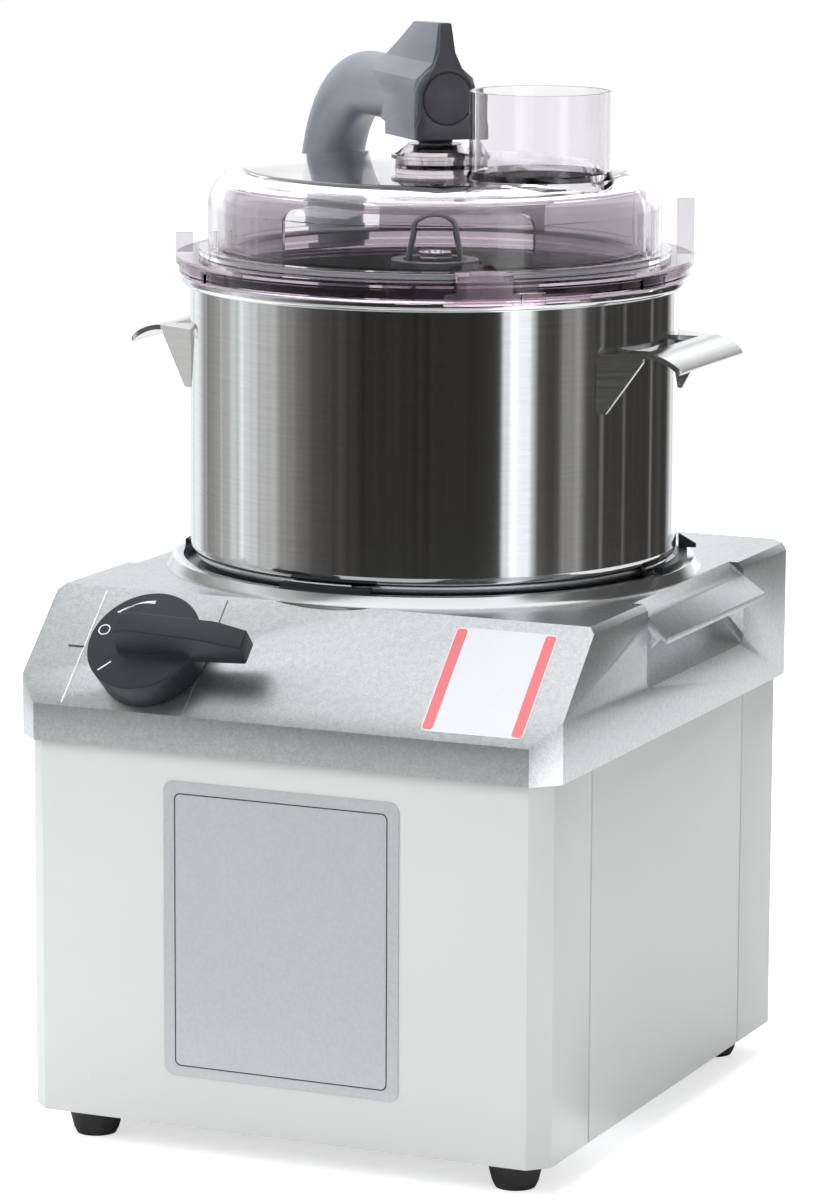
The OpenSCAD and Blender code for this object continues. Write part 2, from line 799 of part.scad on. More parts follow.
// Cup-shaped end bell with its floor at z = 0 and its mouth upwards
module end_bell()
    difference() {
        cylinder(r = motor_r, h = bell_h);
        translate([0, 0, bell_floor])
            difference() {
                cylinder(r = motor_r - bell_wall - 2 * bolt_in, h = bell_h);
                cylinder(r = bearing_r + bell_wall, h = bearing_h);
            }
        translate([0, 0, bell_floor]) cylinder(r = bearing_r + fit_gap, h = bell_h);
        translate([0, 0, -over]) cylinder(r = shaft_r + over, h = bell_h);
        at_motor_bolts() translate([0, 0, -over]) cylinder(r = bolt_r + fit_gap, h = bell_h + 2 * over);
    }

module upper_end_bell() color("darkgray")
    at_bowl(motor_top) mirror([0, 0, 1]) end_bell();

module lower_end_bell() color("darkgray")
    at_bowl(lower_z) end_bell();

module upper_bearing() color("silver")
    at_bowl(motor_top - bell_floor - bearing_h) ring(bearing_r, shaft_r + fit_gap, bearing_h);

module lower_bearing() color("silver")
    at_bowl(lower_z + bell_floor) ring(bearing_r, shaft_r + fit_gap, bearing_h);

module motor_bolts() color("dimgray")
    at_bowl() at_motor_bolts() {
        translate([0, 0, lower_z - bolt_head_h]) cylinder(r = bolt_head_r, h = bolt_head_h, $fn = 6);
        translate([0, 0, lower_z]) cylinder(r = bolt_r, h = motor_top + bolt_bite - over / 2 - lower_z);
    }

module run_capacitor() color("whitesmoke")
    at_cabinet(box_z + bottom_t) translate([cap_can_x, cap_can_y, 0])
        cylinder(r = cap_can_r, h = cap_can_len);

module control_box() color("dimgray")
    at_cabinet(box_z + bottom_t) translate([control_x - control_w / 2, control_y - control_d / 2, 0])
        difference() {
            cube([control_w, control_d, control_h]);
            for (i = [0 : 3])
                translate([control_w * (i + 0.5) / 4, control_d / 2, control_h - 2 * bottom_t])
                    cylinder(r = control_w / 16, h = 3 * bottom_t);
        }

module arm_bush() color("tan")
    translate([post_x, post_y, deck_z - bush_len]) {
        ring(bush_r, spindle_r + fit_gap, bush_len);
        translate([0, 0, bush_len]) ring(bush_flange_r, spindle_r + fit_gap, bush_flange_t);
    }

module arm_switch() color("dimgray")
    translate([post_x + clip_r + switch_boss_gap, post_y - switch_w / 2, deck_under - switch_h])
        union() {
            translate([bush_r + boss_wall - clip_r, 0, 0]) cube([switch_l, switch_w, switch_h]);
        }

// Control knob and switch

module switch_body() color("dimgray")
    on_panel(-knob_left, knob_up)
        translate([0, 0, -deck_t - switch_len])
            difference() {
                translate([-switch_half, -switch_half, 0]) cube([2 * switch_half, 2 * switch_half, switch_len]);
                translate([0, 0, switch_len - shaft_in_switch])
                    cylinder(r = switch_shaft_r + fit_gap, h = shaft_in_switch + over);
            }

module switch_nut() color("silver")
    on_panel(-knob_left, knob_up)
        difference() {
            translate([0, 0, -deck_t]) ring(panel_hole_r - fit_gap, switch_shaft_r + fit_gap, deck_t + switch_nut_t / 2);
        }

module control_knob() color("dimgray")
    on_panel(-knob_left, knob_up)
        difference() {
            union() {
                translate([0, 0, rest_gap]) cylinder(r1 = dial_foot_r, r2 = dial_r, h = dial_h - rest_gap);
                intersection() {
                    along(2 * dial_r)
                        polygon([[-lever_back, dial_h - over], [-lever_back, dial_h + lever_h - lever_tip_drop / 3],
                                 [-lever_back + lever_half, dial_h + lever_h],
                                 [lever_reach - 2 * lever_half, dial_h + lever_h - lever_tip_drop / 3],
                                 [lever_reach, dial_h + lever_h - lever_tip_drop],
                                 [lever_reach, dial_h - lever_under + over],
                                 [lever_reach - over, dial_h - lever_under], [0, dial_h - lever_under]]);
                    linear_extrude(dial_h + lever_h)
                        polygon([[-lever_back, -lever_half], [0, -lever_half], [lever_reach, -lever_tip_half],
                                 [lever_reach, lever_tip_half], [0, lever_half], [-lever_back, lever_half]]);
                    across(2 * (lever_reach + lever_back))
                        polygon([[-lever_half, 0], [lever_half, 0], [lever_half, dial_h],
                                 [lever_top_half, dial_h + lever_h], [-lever_top_half, dial_h + lever_h],
                                 [-lever_half, dial_h]]);
                }
            }
            translate([0, 0, -over]) cylinder(r = switch_shaft_r + fit_gap, h = shaft_in_knob + over);
            translate([0, 0, -over]) cylinder(r = panel_hole_r + over, h = switch_nut_t / 2 + rest_gap + over);
        }

module switch_shaft() color("silver")
    on_panel(-knob_left, knob_up)
        translate([0, 0, -deck_t - shaft_in_switch + over / 2])
            cylinder(r = switch_shaft_r, h = deck_t + shaft_in_switch - over / 2 + shaft_in_knob);

// Bowl

module bowl() color("silver")
    at_bowl(bowl_z)
        rotate_extrude() {
            difference() {
                translate([0, bowl_h - bead_r]) mirror([0, 1]) dome_section(bowl_r, bowl_h - bead_r, bowl_corner_r);
                translate([0, bowl_h - bead_r + over])
                    mirror([0, 1])
                        dome_section(bowl_in, bowl_h - bead_r - bowl_wall + over, bowl_corner_r - bowl_wall);
                square([tube_r, bowl_h]);
            }
            translate([bowl_in + bead_r, bowl_h - bead_r]) circle(r = bead_r);
            translate([tube_r, 0]) square([bowl_wall, tube_top - bowl_z]);
        }

module bowl_lugs() color("darkgray")
    at_bowl(bowl_z)
        for (turn = hook_turns)
            rotate([0, 0, turn])
                rotate_extrude(angle = lug_angle)
                    difference() {
                        translate([bowl_r - bowl_corner_r, 0]) square([lug_out - bowl_r + bowl_corner_r, lug_h]);
                        translate([0, bowl_h])
                            mirror([0, 1]) dome_section(bowl_r + weld_gap, bowl_h + weld_gap, bowl_corner_r);
                    }

// Sheet handle on the right: flat plate, turned-down lip, gap along the bowl and two gussets
// Outline of a handle's plate seen from above, with rounded lip corners
module handle_plan() {
    polygon([[0, -handle_half], [handle_root, -handle_half], [handle_flat, -lip_half], [lip_corner_x, -lip_half],
             [lip_corner_x, lip_half], [handle_flat, lip_half], [handle_root, handle_half], [0, handle_half]]);
    translate([handle_flat, lip_corner - lip_half])
        square([lip_tip - handle_flat + lip_corner, 2 * (lip_half - lip_corner)]);
    for (sy = [-1, 1])
        translate([lip_corner_x, sy * (lip_half - lip_corner)]) circle(r = lip_corner);
}

// Side profile of the plate, with its lip rolled over and down
module handle_profile() {
    translate([0, handle_z - handle_t]) square([handle_flat, handle_t]);
    translate([handle_flat, handle_z - lip_r])
        intersection() {
            difference() {
                circle(r = lip_r);
                circle(r = lip_r - handle_t);
            }
            polygon([[0, 0], [0, 2 * lip_r],
                     [2 * lip_r * sin(lip_angle), 2 * lip_r],
                     [2 * lip_r * sin(lip_angle), 2 * lip_r * cos(lip_angle)]]);
        }
}

// The gussets follow the plate's splayed ends and taper towards the lip
module gusset_plan()
    difference() {
        polygon([[0, -handle_half], [handle_root, -handle_half], [handle_flat, -lip_half],
                 [handle_flat, lip_half], [handle_root, handle_half], [0, handle_half]]);
        polygon([[handle_root - lip_r, gusset_in - handle_half - lip_r * tan(handle_splay)],
                 [handle_flat + lip_r, gusset_in - lip_half + lip_r * tan(handle_splay)],
                 [handle_flat + lip_r, lip_half - gusset_in - lip_r * tan(handle_splay)],
                 [handle_root - lip_r, handle_half - gusset_in + lip_r * tan(handle_splay)]]);
    }

module gusset_profile()
    polygon([[0, handle_z - handle_t - gusset_h], [handle_root + gusset_foot, handle_z - handle_t - gusset_h],
             [handle_flat - gusset_tip, handle_z - handle_t - gusset_tip],
             [handle_flat - gusset_tip, handle_z - handle_t / 2], [0, handle_z - handle_t / 2]]);

module bowl_handle()
    difference() {
        union() {
            intersection() {
                along(2 * handle_half) handle_profile();
                linear_extrude(rim_z) handle_plan();
            }
            intersection() {
                along(2 * handle_half) gusset_profile();
                linear_extrude(rim_z) gusset_plan();
            }
        }
        cylinder(r = bowl_r + weld_gap, h = rim_z + over);
        translate([bowl_r / 2, -slot_half, handle_z - 2 * handle_t])
            cube([bowl_r / 2 + handle_reach - handle_t, 2 * slot_half, 3 * handle_t]);
    }

module handle_right() color("silver") at_bowl() bowl_handle();

module handle_left() color("silver") at_bowl() rotate([0, 0, 180]) bowl_handle();

// Lid

module at_feed() rotate([0, 0, feed_angle]) translate([feed_reach, 0, 0]) children();

module lid() color("thistle", 0.5)
    at_bowl()
        difference() {
            union() {
                translate([0, 0, foot_z]) rotate_extrude() dome_section(dome_r, dome_h, shoulder_r);
                translate([0, 0, foot_z]) cylinder(r = dome_r + foot_w, h = foot_t);
                at_feed() translate([0, 0, dome_top - shoulder_r]) cylinder(r = feed_r, h = shoulder_r + feed_h);
                at_feed() translate([0, 0, dome_top - shoulder_r / 2]) cylinder(r = feed_r + flare_w, h = shoulder_r / 2);
                at_feed() translate([0, 0, dome_top]) cylinder(r1 = feed_r + flare_w, r2 = feed_r, h = flare_h);
            }
            translate([0, 0, foot_z - over])
                rotate_extrude() dome_section(dome_in, dome_h - lid_t + over, shoulder_r - lid_t);
            at_feed() translate([0, 0, foot_z]) cylinder(r = feed_r - feed_wall, h = dome_h + feed_h + over);
            translate([0, 0, foot_z]) cylinder(r = boss_hole_r + fit_gap, h = dome_h + over);
        }

module lid_boss() color("dimgray")
    at_bowl(dome_top) {
        translate([0, 0, -lid_t - boss_lock_h]) cylinder(r = boss_lock_r, h = boss_lock_h);
        translate([0, 0, -lid_t]) cylinder(r = boss_hole_r, h = lid_t);
        cylinder(r = boss_neck_r, h = boss_neck_h);
        translate([0, 0, boss_neck_h]) cylinder(r = boss_r, h = boss_rim_h);
        translate([0, 0, boss_neck_h + boss_rim_h])
            cylinder(r1 = boss_r - boss_rim_h, r2 = boss_cone_r, h = boss_cone_h - boss_rim_h);
    }

// Catch plate over the ring's edge at the front, with the stop bar beside it
module lid_catch() color("thistle", 0.6)
    at_bowl() {
        reach_in = dome_r + foot_w + fit_gap;
        catch_in = flange_r + seat_clear;
        inner_from = catch_from_angle + catch_taper_angle;
        inner_span = catch_to_angle - catch_from_angle - 2 * catch_taper_angle;
        pad_from = inner_from + inner_span / 4;
        pad_span = inner_span / 2;
        rotate([0, 0, inner_from])
            rotate_extrude(angle = inner_span)
                polygon([[reach_in, foot_z], [catch_in, foot_z], [catch_in, foot_z - catch_drop],
                         [catch_in + catch_t, foot_z - catch_drop], [catch_in + catch_t, foot_z + foot_t],
                         [reach_in, foot_z + foot_t]]);
        translate([0, 0, foot_z + foot_t / 2])
            arc_wall(catch_in - catch_t, catch_in + catch_t - catch_step, foot_t / 2 + catch_pad_h, pad_from, pad_span);
        translate([0, 0, foot_z - catch_drop - catch_step])
            arc_wall(catch_in + catch_step, catch_in + catch_t + catch_step, catch_drop / 2, catch_from_angle,
                     catch_to_angle - catch_from_angle);
        translate([0, 0, foot_z - catch_drop])
            arc_wall(catch_in + 2 * catch_step, catch_in + 2 * catch_t, catch_drop / 2, catch_to_angle - catch_lap_angle,
                     block_to_angle - catch_to_angle + catch_lap_angle);
        translate([0, 0, foot_z - catch_drop + catch_step])
            arc_wall(catch_in + catch_step, catch_in + catch_t - catch_step, catch_drop / 3, block_to_angle - catch_lap_angle,
                     bar_to_angle - block_to_angle + catch_lap_angle);
    }

module lid_seal() color("whitesmoke")
    at_bowl(flange_top + fit_gap)
        ring(dome_in - fit_gap, dome_in - lid_seal_w, rest_gap + foot_t / 2);

// Scraper

// Windows between the panels of the upstanding skirt
module skirt_windows() {
    window_angle = 360 / arm_count - panel_angle;
    window_half = skirt_r * sin(window_angle / 2);
    window_h = skirt_top - flange_top - window_band - window_sill;
    corner = window_h / 4;
    for (k = [0 : arm_count - 1])
        rotate([0, 0, first_arm + 180 / arm_count + k * 360 / arm_count])
            translate([0, 0, flange_top + window_sill])
                rotate([90, 0, 90])
                    linear_extrude(2 * skirt_r)
                        difference() {
                            translate([-window_half, 0]) square([2 * window_half, window_h]);
                            for (s = [-1, 1])
                                translate([s * window_half, window_h])
                                    difference() {
                                        square(2 * corner, center = true);
                                        translate([-s * corner, -corner]) circle(r = corner);
                                        translate([-s * corner * 2 - corner, -3 * corner]) square([2 * corner, 3 * corner]);
                                        translate([-corner * 2, -3 * corner]) square([4 * corner, 2 * corner]);
                                    }
                        }
}

module scraper_ring() color("plum", 0.7)
    at_bowl() {
        difference() {
            union() {
                rotate_extrude() {
                    translate([skirt_r - scraper_t, flange_z]) square([flange_r - skirt_r + scraper_t, flange_t]);
                    translate([arm_r_out - scraper_t, ring_z]) square([ring_body_r - arm_r_out + scraper_t, ring_h]);
                    translate([arm_r_out - scraper_t, ring_z - ring_h]) square([scraper_t, ring_h + over]);
                }
                translate([0, 0, flange_z]) ring(skirt_r, skirt_r - scraper_t, skirt_top - flange_z);
            }
            skirt_windows();
        }
        for (k = [0 : 2 * arm_count - 1])
            translate([0, 0, ring_z])
                arc_wall(ring_body_r - over, flange_r, ring_h + over / 2, first_arm + k * 180 / arm_count, lug_ring_angle);
    }

module scraper_arms() color("plum", 0.8)
    at_bowl() {
        arm_z0 = bowl_z + bowl_corner_r + arm_foot_gap;
        for (k = [0 : arm_count - 1])
            translate([0, 0, arm_z0])
                arc_wall(arm_r_out - arm_stem_t, arm_r_out, ring_z - ring_h - arm_z0,
                         first_arm - arm_wide / 2 + k * 360 / arm_count, arm_wide);
    }

module finger_tab(h)
    translate([flange_r - tab_w, -tab_t / 2, flange_top]) cube([tab_w, tab_t, h]);

module finger_tab_right() color("thistle", 0.6)
    at_bowl() rotate([0, 0, tab_angle]) finger_tab(tab_h);

module finger_tab_left() color("thistle", 0.6)
    at_bowl() rotate([0, 0, tab_angle + 180]) finger_tab(left_tab_h);

// Knife carrier and drive

module drive_shaft() color("silver")
    at_bowl() {
        translate([0, 0, lower_z - fan_gap - fan_t - fan_blade_h])
            cylinder(r = shaft_r, h = cap_z - lower_z + fan_gap + fan_t + fan_blade_h);
        translate([0, 0, cap_z]) cylinder(r = stub_r, h = stub_top - cap_z);
    }

module motor_rotor() color("lightslategray")
    at_bowl(stator_z) ring(rotor_r, shaft_r + fit_gap, stator_h);

module cooling_fan() color("dimgray")
    at_bowl(lower_z - fan_gap - fan_t - fan_blade_h) {
        ring(shaft_r + fan_t, shaft_r + fit_gap, fan_blade_h + fan_t);
        translate([0, 0, fan_blade_h]) ring(fan_r, shaft_r + fit_gap, fan_t);
        for (k = [0 : fan_blades - 1])
            rotate([0, 0, k * 360 / fan_blades])
                translate([shaft_r + fan_t - over, -fan_t / 4, 0])
                    cube([fan_r - shaft_r - fan_t, fan_t / 2, fan_blade_h + over]);
    }

module knife_carrier() color("dimgray")
    at_bowl()
        difference() {
            union() {
                translate([0, 0, carrier_z]) cylinder(r = hub_r, h = carrier_top - carrier_z);
                translate([0, 0, carrier_z]) cylinder(r = collar_r, h = collar_h);
            }
            translate([0, 0, carrier_z - over])
                cylinder(r = sleeve_in, h = carrier_top - carrier_web - carrier_z + over);
            translate([0, 0, carrier_z]) cylinder(r = shaft_r + fit_gap, h = carrier_top);
        }

// One swept blade: a crescent that narrows from the root to a point
module blade_plan() {
    outer_c = knife_reach - blade_curve;
    difference() {
        intersection() {
            translate([outer_c, 0]) circle(r = blade_curve);
            translate([0, -blade_root]) square([knife_reach, blade_curve + blade_root]);
        }
        translate([outer_c - blade_root / 2, -blade_width]) circle(r = blade_curve);
    }
}

module knife(turn) {
    difference() {
        rotate([0, 0, turn])
            linear_extrude(knife_t) {
                circle(r = collar_r);
                for (a = [0, 180]) rotate([0, 0, a]) blade_plan();
            }
        translate([0, 0, -over]) cylinder(r = hub_r + fit_gap, h = knife_t + 2 * over);
    }
}

module lower_knife() color("lightgray") at_bowl(knife_z) knife(knife_turn);

module upper_knife() color("lightgray") at_bowl(knife_z + knife_step) knife(knife_turn + knife_cross_angle);

module knife_spacer() color("dimgray")
    at_bowl(knife_z + knife_t) ring(collar_r, hub_r + fit_gap, knife_step - knife_t);

module knife_cap() color("dimgray")
    at_bowl(cap_z)
        difference() {
            union() {
                cylinder(r = cap_neck_r, h = cap_neck_h);
                translate([0, 0, cap_neck_h]) cylinder(r = cap_r, h = cap_rim_h);
            }
            translate([0, 0, -over]) cylinder(r = stub_r + fit_gap, h = cap_neck_h + cap_rim_h + 2 * over);
            translate([0, 0, cap_neck_h + cap_rim_h - cap_dish]) cylinder(r = cap_dish_r, h = cap_dish + over);
        }

module cap_nut() color("silver")
    at_bowl(cap_top - cap_dish)
        difference() {
            cylinder(r = nut_r, h = nut_h, $fn = 6);
            translate([0, 0, -over]) cylinder(r = stub_r + fit_gap, h = nut_h + 2 * over);
        }

// Upright wire loop with leaning legs that stand in the cap's dish
module lifting_bail() color("darkgray")
    at_bowl(cap_top - cap_dish) rotate([0, 0, bail_angle]) {
        leg_h = bail_h + cap_dish - bail_bow;
        lean = atan2(bail_foot - bail_bow, leg_h);
        leg = norm([bail_foot - bail_bow, leg_h]);
        for (s = [0, 180])
            rotate([0, 0, s])
                translate([bail_bow, 0, leg_h])
                    rotate([0, 180 - lean, 0])
                        translate([0, 0, -bail_wire_r])
                            cylinder(r = bail_wire_r, h = leg + bail_wire_r * (1 - sin(lean)) - fit_gap);
        translate([0, 0, leg_h])
            rotate([90, 0, 0])
                rotate_extrude(angle = 180) translate([bail_bow, 0]) circle(r = bail_wire_r);
    }

// Lid arm

module arm_post() color("slategray")
    at_post() {
        translate([0, 0, deck_z + bush_flange_t + rest_gap])
            cylinder(r = arm_r, h = arm_z - elbow_r - deck_z - bush_flange_t - rest_gap);
        translate([0, 0, deck_z - bush_len - spindle_end])
            cylinder(r = spindle_r, h = bush_len + spindle_end + bush_flange_t + 2 * rest_gap);
    }

module post_clip() color("silver")
    at_post()
        translate([0, 0, deck_z - bush_len - rest_gap - clip_t]) ring(clip_r, spindle_r + fit_gap, clip_t);

// Cross-section of the head, with the thumb fin on top; the tube's centre line is at the origin
module head_section()
    polygon([[-head_half, -head_drop], [head_half, -head_drop], [head_half, arm_r / 3],
             [head_half - over, arm_r * 0.6], [fin_root_t, arm_r + over], [fin_root_t * 0.7, arm_r * 1.6],
             [fin_tip_t, fin_h], [-fin_tip_t, fin_h], [-fin_root_t * 0.7, arm_r * 1.6],
             [-fin_root_t, arm_r + over], [-head_half + over, arm_r * 0.6], [-head_half, arm_r / 3]]);

// Outline of the end cap: the head's, drawn in beside the disc
module cap_section()
    polygon([[-head_half, -head_drop], [head_half, -head_drop], [head_half, head_neck - head_drop],
             [cap_waist, cap_waist_h - head_drop], [cap_waist, arm_r / 3], [fin_root_t * 1.2, arm_r * 0.95],
             [fin_root_t * 0.7, arm_r * 1.4], [fin_tip_t, fin_h], [-fin_tip_t, fin_h],
             [-fin_root_t * 0.7, arm_r * 1.4], [-fin_root_t * 1.2, arm_r * 0.95], [-cap_waist, arm_r / 3],
             [-cap_waist, cap_waist_h - head_drop], [-head_half, head_neck - head_drop]]);

module lid_arm() color("slategray")
    at_post() translate([0, 0, arm_z]) {
        head_end = arm_reach + head_past - end_cap_t;
        translate([elbow_r, 0, -elbow_r])
            rotate([90, 0, 0])
                rotate([0, 0, 90]) rotate_extrude(angle = 90) translate([elbow_r, 0]) circle(r = arm_r);
        translate([elbow_r, 0, 0]) rotate([0, 90, 0]) cylinder(r = arm_r, h = head_end - elbow_r);
        translate([elbow_r - over, 0, 0]) rotate([0, 90, 0]) cylinder(r = arm_r - over, h = 2 * over);
        intersection() {
            translate([elbow_r, 0, 0]) rotate([90, 0, 90]) linear_extrude(head_end - elbow_r) head_section();
            along(4 * arm_r)
                polygon([[head_end - head_len, -head_drop], [head_end, -head_drop],
                         [head_end - fin_tip_t, fin_h], [head_end - fin_top_len, fin_h - over],
                         [head_end - fin_top_len - fin_slope_len, arm_r * 0.9],
                         [head_end - head_len, 0], [head_end - head_len - head_neck, -arm_r * 0.8],
                         [head_end - head_len, -head_drop + head_neck]]);
        }
    }

module arm_end_cap() color("dimgray")
    at_post() translate([arm_reach + head_past - end_cap_t, 0, arm_z]) {
        difference() {
            intersection() {
                rotate([90, 0, 90]) linear_extrude(end_cap_t) cap_section();
                along(4 * arm_r)
                    polygon([[0, -head_drop], [end_cap_t, -head_drop], [end_cap_t, arm_r],
                             [end_cap_t - fin_tip_t, fin_h], [-fin_tip_t, fin_h], [0, 0]]);
            }
            translate([end_cap_t - cap_disc_t / 2, 0, 0])
                rotate([0, 90, 0]) ring(cap_disc_r + cap_disc_t / 2, cap_disc_r, cap_disc_t);
        }
    }

module arm_pad() color("dimgray")
    at_post() translate([arm_reach, 0, boss_top + rest_gap])
        cylinder(r = pad_r, h = arm_rise - head_drop - rest_gap);

cabinet();
bottom_plate();
feet();
foot_screws();
top_casting();
tie_rods();
cable_gland();
seat_seal();
bayonet_hooks();
shaft_seal();
arm_bush();
arm_switch();
motor_stator();
motor_windings();
upper_end_bell();
lower_end_bell();
upper_bearing();
lower_bearing();
motor_bolts();
run_capacitor();
control_box();
switch_body();
switch_nut();
control_knob();
switch_shaft();
bowl();
bowl_lugs();
handle_right();
handle_left();
lid();
lid_boss();
lid_catch();
lid_seal();
scraper_ring();
scraper_arms();
finger_tab_right();
finger_tab_left();
drive_shaft();
motor_rotor();
cooling_fan();
knife_carrier();
lower_knife();
upper_knife();
knife_spacer();
knife_cap();
cap_nut();
lifting_bail();
arm_post();
lid_arm();
arm_end_cap();
arm_pad();
post_clip();
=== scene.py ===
import bpy
import bmesh
import json
import math
import random
from mathutils import Matrix, Vector

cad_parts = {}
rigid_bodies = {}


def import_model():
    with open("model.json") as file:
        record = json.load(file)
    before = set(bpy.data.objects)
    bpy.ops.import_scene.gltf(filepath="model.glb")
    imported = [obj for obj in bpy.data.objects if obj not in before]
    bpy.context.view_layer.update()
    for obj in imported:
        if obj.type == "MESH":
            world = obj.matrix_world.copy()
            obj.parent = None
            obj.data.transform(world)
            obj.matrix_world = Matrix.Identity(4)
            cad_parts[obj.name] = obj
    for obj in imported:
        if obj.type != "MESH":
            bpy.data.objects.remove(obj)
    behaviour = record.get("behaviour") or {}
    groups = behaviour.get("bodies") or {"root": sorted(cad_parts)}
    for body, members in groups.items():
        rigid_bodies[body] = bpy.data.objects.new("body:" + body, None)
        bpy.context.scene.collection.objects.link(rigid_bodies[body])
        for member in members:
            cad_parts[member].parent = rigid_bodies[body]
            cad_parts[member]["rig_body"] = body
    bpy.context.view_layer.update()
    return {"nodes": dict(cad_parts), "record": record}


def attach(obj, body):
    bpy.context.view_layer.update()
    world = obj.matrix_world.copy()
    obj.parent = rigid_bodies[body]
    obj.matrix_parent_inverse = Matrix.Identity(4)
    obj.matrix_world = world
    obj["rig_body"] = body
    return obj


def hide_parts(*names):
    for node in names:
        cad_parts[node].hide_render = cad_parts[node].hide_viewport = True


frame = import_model()
scene = bpy.context.scene
random.seed(41)

# Sizes shared with the solids, in metres
MM = 0.001
CABINET_Y = 4.324 * MM
BOWL_Y = CABINET_Y + 18 * MM
CABINET_D = 260 * MM
CAST_FRONT = CABINET_Y - 134 * MM
PANEL_Z = 181 * MM
PANEL_RISE, PANEL_RUN = 41 * MM, 43 * MM
PANEL_SLOPE = math.atan2(PANEL_RISE, PANEL_RUN)
DECK_Z = 222 * MM
SEAT_R = 112.5 * MM
DOME_TOP = 386.1 * MM
# The dial's face: across the panel, up its slope and off it
KNOB = (-62 * MM, 25 * MM, 14 * MM)


class Val:
    """A shader socket that Python's operators turn into Math nodes."""

    def __init__(self, tree, socket):
        self.tree = tree
        self.socket = socket

    def math(self, operation, *others):
        node = self.tree.nodes.new("ShaderNodeMath")
        node.operation = operation
        for slot, value in enumerate((self, *others)):
            put(self.tree, node.inputs[slot], value)
        return Val(self.tree, node.outputs[0])

    def __add__(self, other):
        return self.math("ADD", other)

    __radd__ = __add__

    def __mul__(self, other):
        return self.math("MULTIPLY", other)

    def __sub__(self, other):
        return self.math("SUBTRACT", other)

    def __rsub__(self, other):
        return (self * -1.0).math("ADD", other)

    def __truediv__(self, other):
        return self.math("DIVIDE", other)

    def clamp(self, low, high):
        return self.math("MAXIMUM", low).math("MINIMUM", high)

    def above(self, edge):
        return self.math("GREATER_THAN", edge)

    def below(self, edge):
        return self.math("LESS_THAN", edge)

    def ramp(self, low, high):
        """0 below low, 1 above high, straight between."""
        return ((self - low) / (high - low)).clamp(0.0, 1.0)


def put(tree, socket, value):
    """Sets or links one input."""
    if isinstance(value, Val):
        tree.links.new(value.socket, socket)
    elif isinstance(value, bpy.types.NodeSocket):
        tree.links.new(value, socket)
    else:
        socket.default_value = value


def node(tree, kind, settings=None, **inputs):
    """One shader node: its type, its settings, then its sockets by name with spaces as underscores."""
    made = tree.nodes.new(kind)
    for key, value in (settings or {}).items():
        setattr(made, key, value)
    for key, value in inputs.items():
        put(tree, made.inputs[key.replace("_", " ")], value)
    return made


class Look:
    """A material with one Principled shader and helpers for its procedural detail."""

    def __init__(self, name, base, rough, metallic=0.0, **constants):
        self.material = bpy.data.materials.new(name)
        self.material.use_nodes = True
        self.tree = self.material.node_tree
        self.shader = self.tree.nodes["Principled BSDF"]
        self.base = base
        self.shader.inputs["Base Color"].default_value = (*base, 1.0)
        self.shader.inputs["Roughness"].default_value = rough
        self.shader.inputs["Metallic"].default_value = metallic
        for key, value in constants.items():
            self.shader.inputs[key.replace("_", " ")].default_value = value
        self.place = node(self.tree, "ShaderNodeTexCoord").outputs["Object"]
        split = node(self.tree, "ShaderNodeSeparateXYZ", Vector=self.place)
        self.x = Val(self.tree, split.outputs["X"])
        self.y = Val(self.tree, split.outputs["Y"])
        self.z = Val(self.tree, split.outputs["Z"])

    def noise(self, scale, detail=2.0, roughness=0.5, stretch=None):
        place = self.place
        if stretch:
            scaled = node(self.tree, "ShaderNodeVectorMath", {"operation": "MULTIPLY"})
            put(self.tree, scaled.inputs[0], self.place)
            scaled.inputs[1].default_value = stretch
            place = scaled.outputs[0]
        made = node(self.tree, "ShaderNodeTexNoise",
                    Vector=place, Scale=scale, Detail=detail, Roughness=roughness)
        return Val(self.tree, made.outputs[0])

    def voronoi(self, scale, feature="F1"):
        made = node(self.tree, "ShaderNodeTexVoronoi", {"feature": feature}, Vector=self.place, Scale=scale)
        return Val(self.tree, made.outputs["Distance"])

    def tint(self, amount, dark, light):
        """Base colour that runs from one tone of itself to another as amount goes from 0 to 1."""
        mix = node(self.tree, "ShaderNodeMix", {"data_type": "RGBA"})
        put(self.tree, mix.inputs[0], amount)
        mix.inputs[6].default_value = (*(c * dark for c in self.base), 1.0)
        mix.inputs[7].default_value = (*(min(1.0, c * light) for c in self.base), 1.0)
        self.tree.links.new(mix.outputs[2], self.shader.inputs["Base Color"])
        return self

    def rough(self, value):
        put(self.tree, self.shader.inputs["Roughness"], value)
        return self

    def bump(self, height, distance, strength=1.0):
        made = node(self.tree, "ShaderNodeBump", Height=height, Distance=distance, Strength=strength)
        self.tree.links.new(made.outputs[0], self.shader.inputs["Normal"])
        return self


def painted():
    look = Look("cabinet_paint", (0.67, 0.70, 0.69), 0.34, Coat_Weight=0.15)
    cloud = look.noise(9.0, 3.0)
    peel = look.noise(900.0, 2.0)
    look.tint(cloud.ramp(0.3, 0.7), 0.985, 1.01)
    look.rough(0.30 + look.noise(60.0, 3.0) * 0.10)
    return look.bump(peel, 0.00004, 0.5).material


def cast_metal():
    look = Look("cast_aluminium", (0.73, 0.76, 0.78), 0.30, 0.95)
    fine = look.noise(1300.0, 3.0, 0.75)
    coarse = look.noise(420.0, 3.0, 0.6)
    glitter = look.voronoi(900.0).ramp(0.02, 0.22)
    cloud = look.noise(22.0, 3.0)
    back = look.y - BOWL_Y
    machined = (look.x * look.x + back * back).below(SEAT_R * SEAT_R) * look.z.above(DECK_Z + 0.3 * MM)
    cast = 1.0 - machined
    look.tint((fine * 0.65 + coarse * 0.35).ramp(0.36, 0.64) * cast + machined * 0.75, 0.80, 1.10)
    look.rough((0.20 + fine * 0.16 + cloud * 0.05 + glitter * 0.03) * cast + machined * 0.16)
    return look.bump((fine * 0.7 + coarse * 0.45 + glitter * 0.2) * cast, 0.00011, 0.6).material


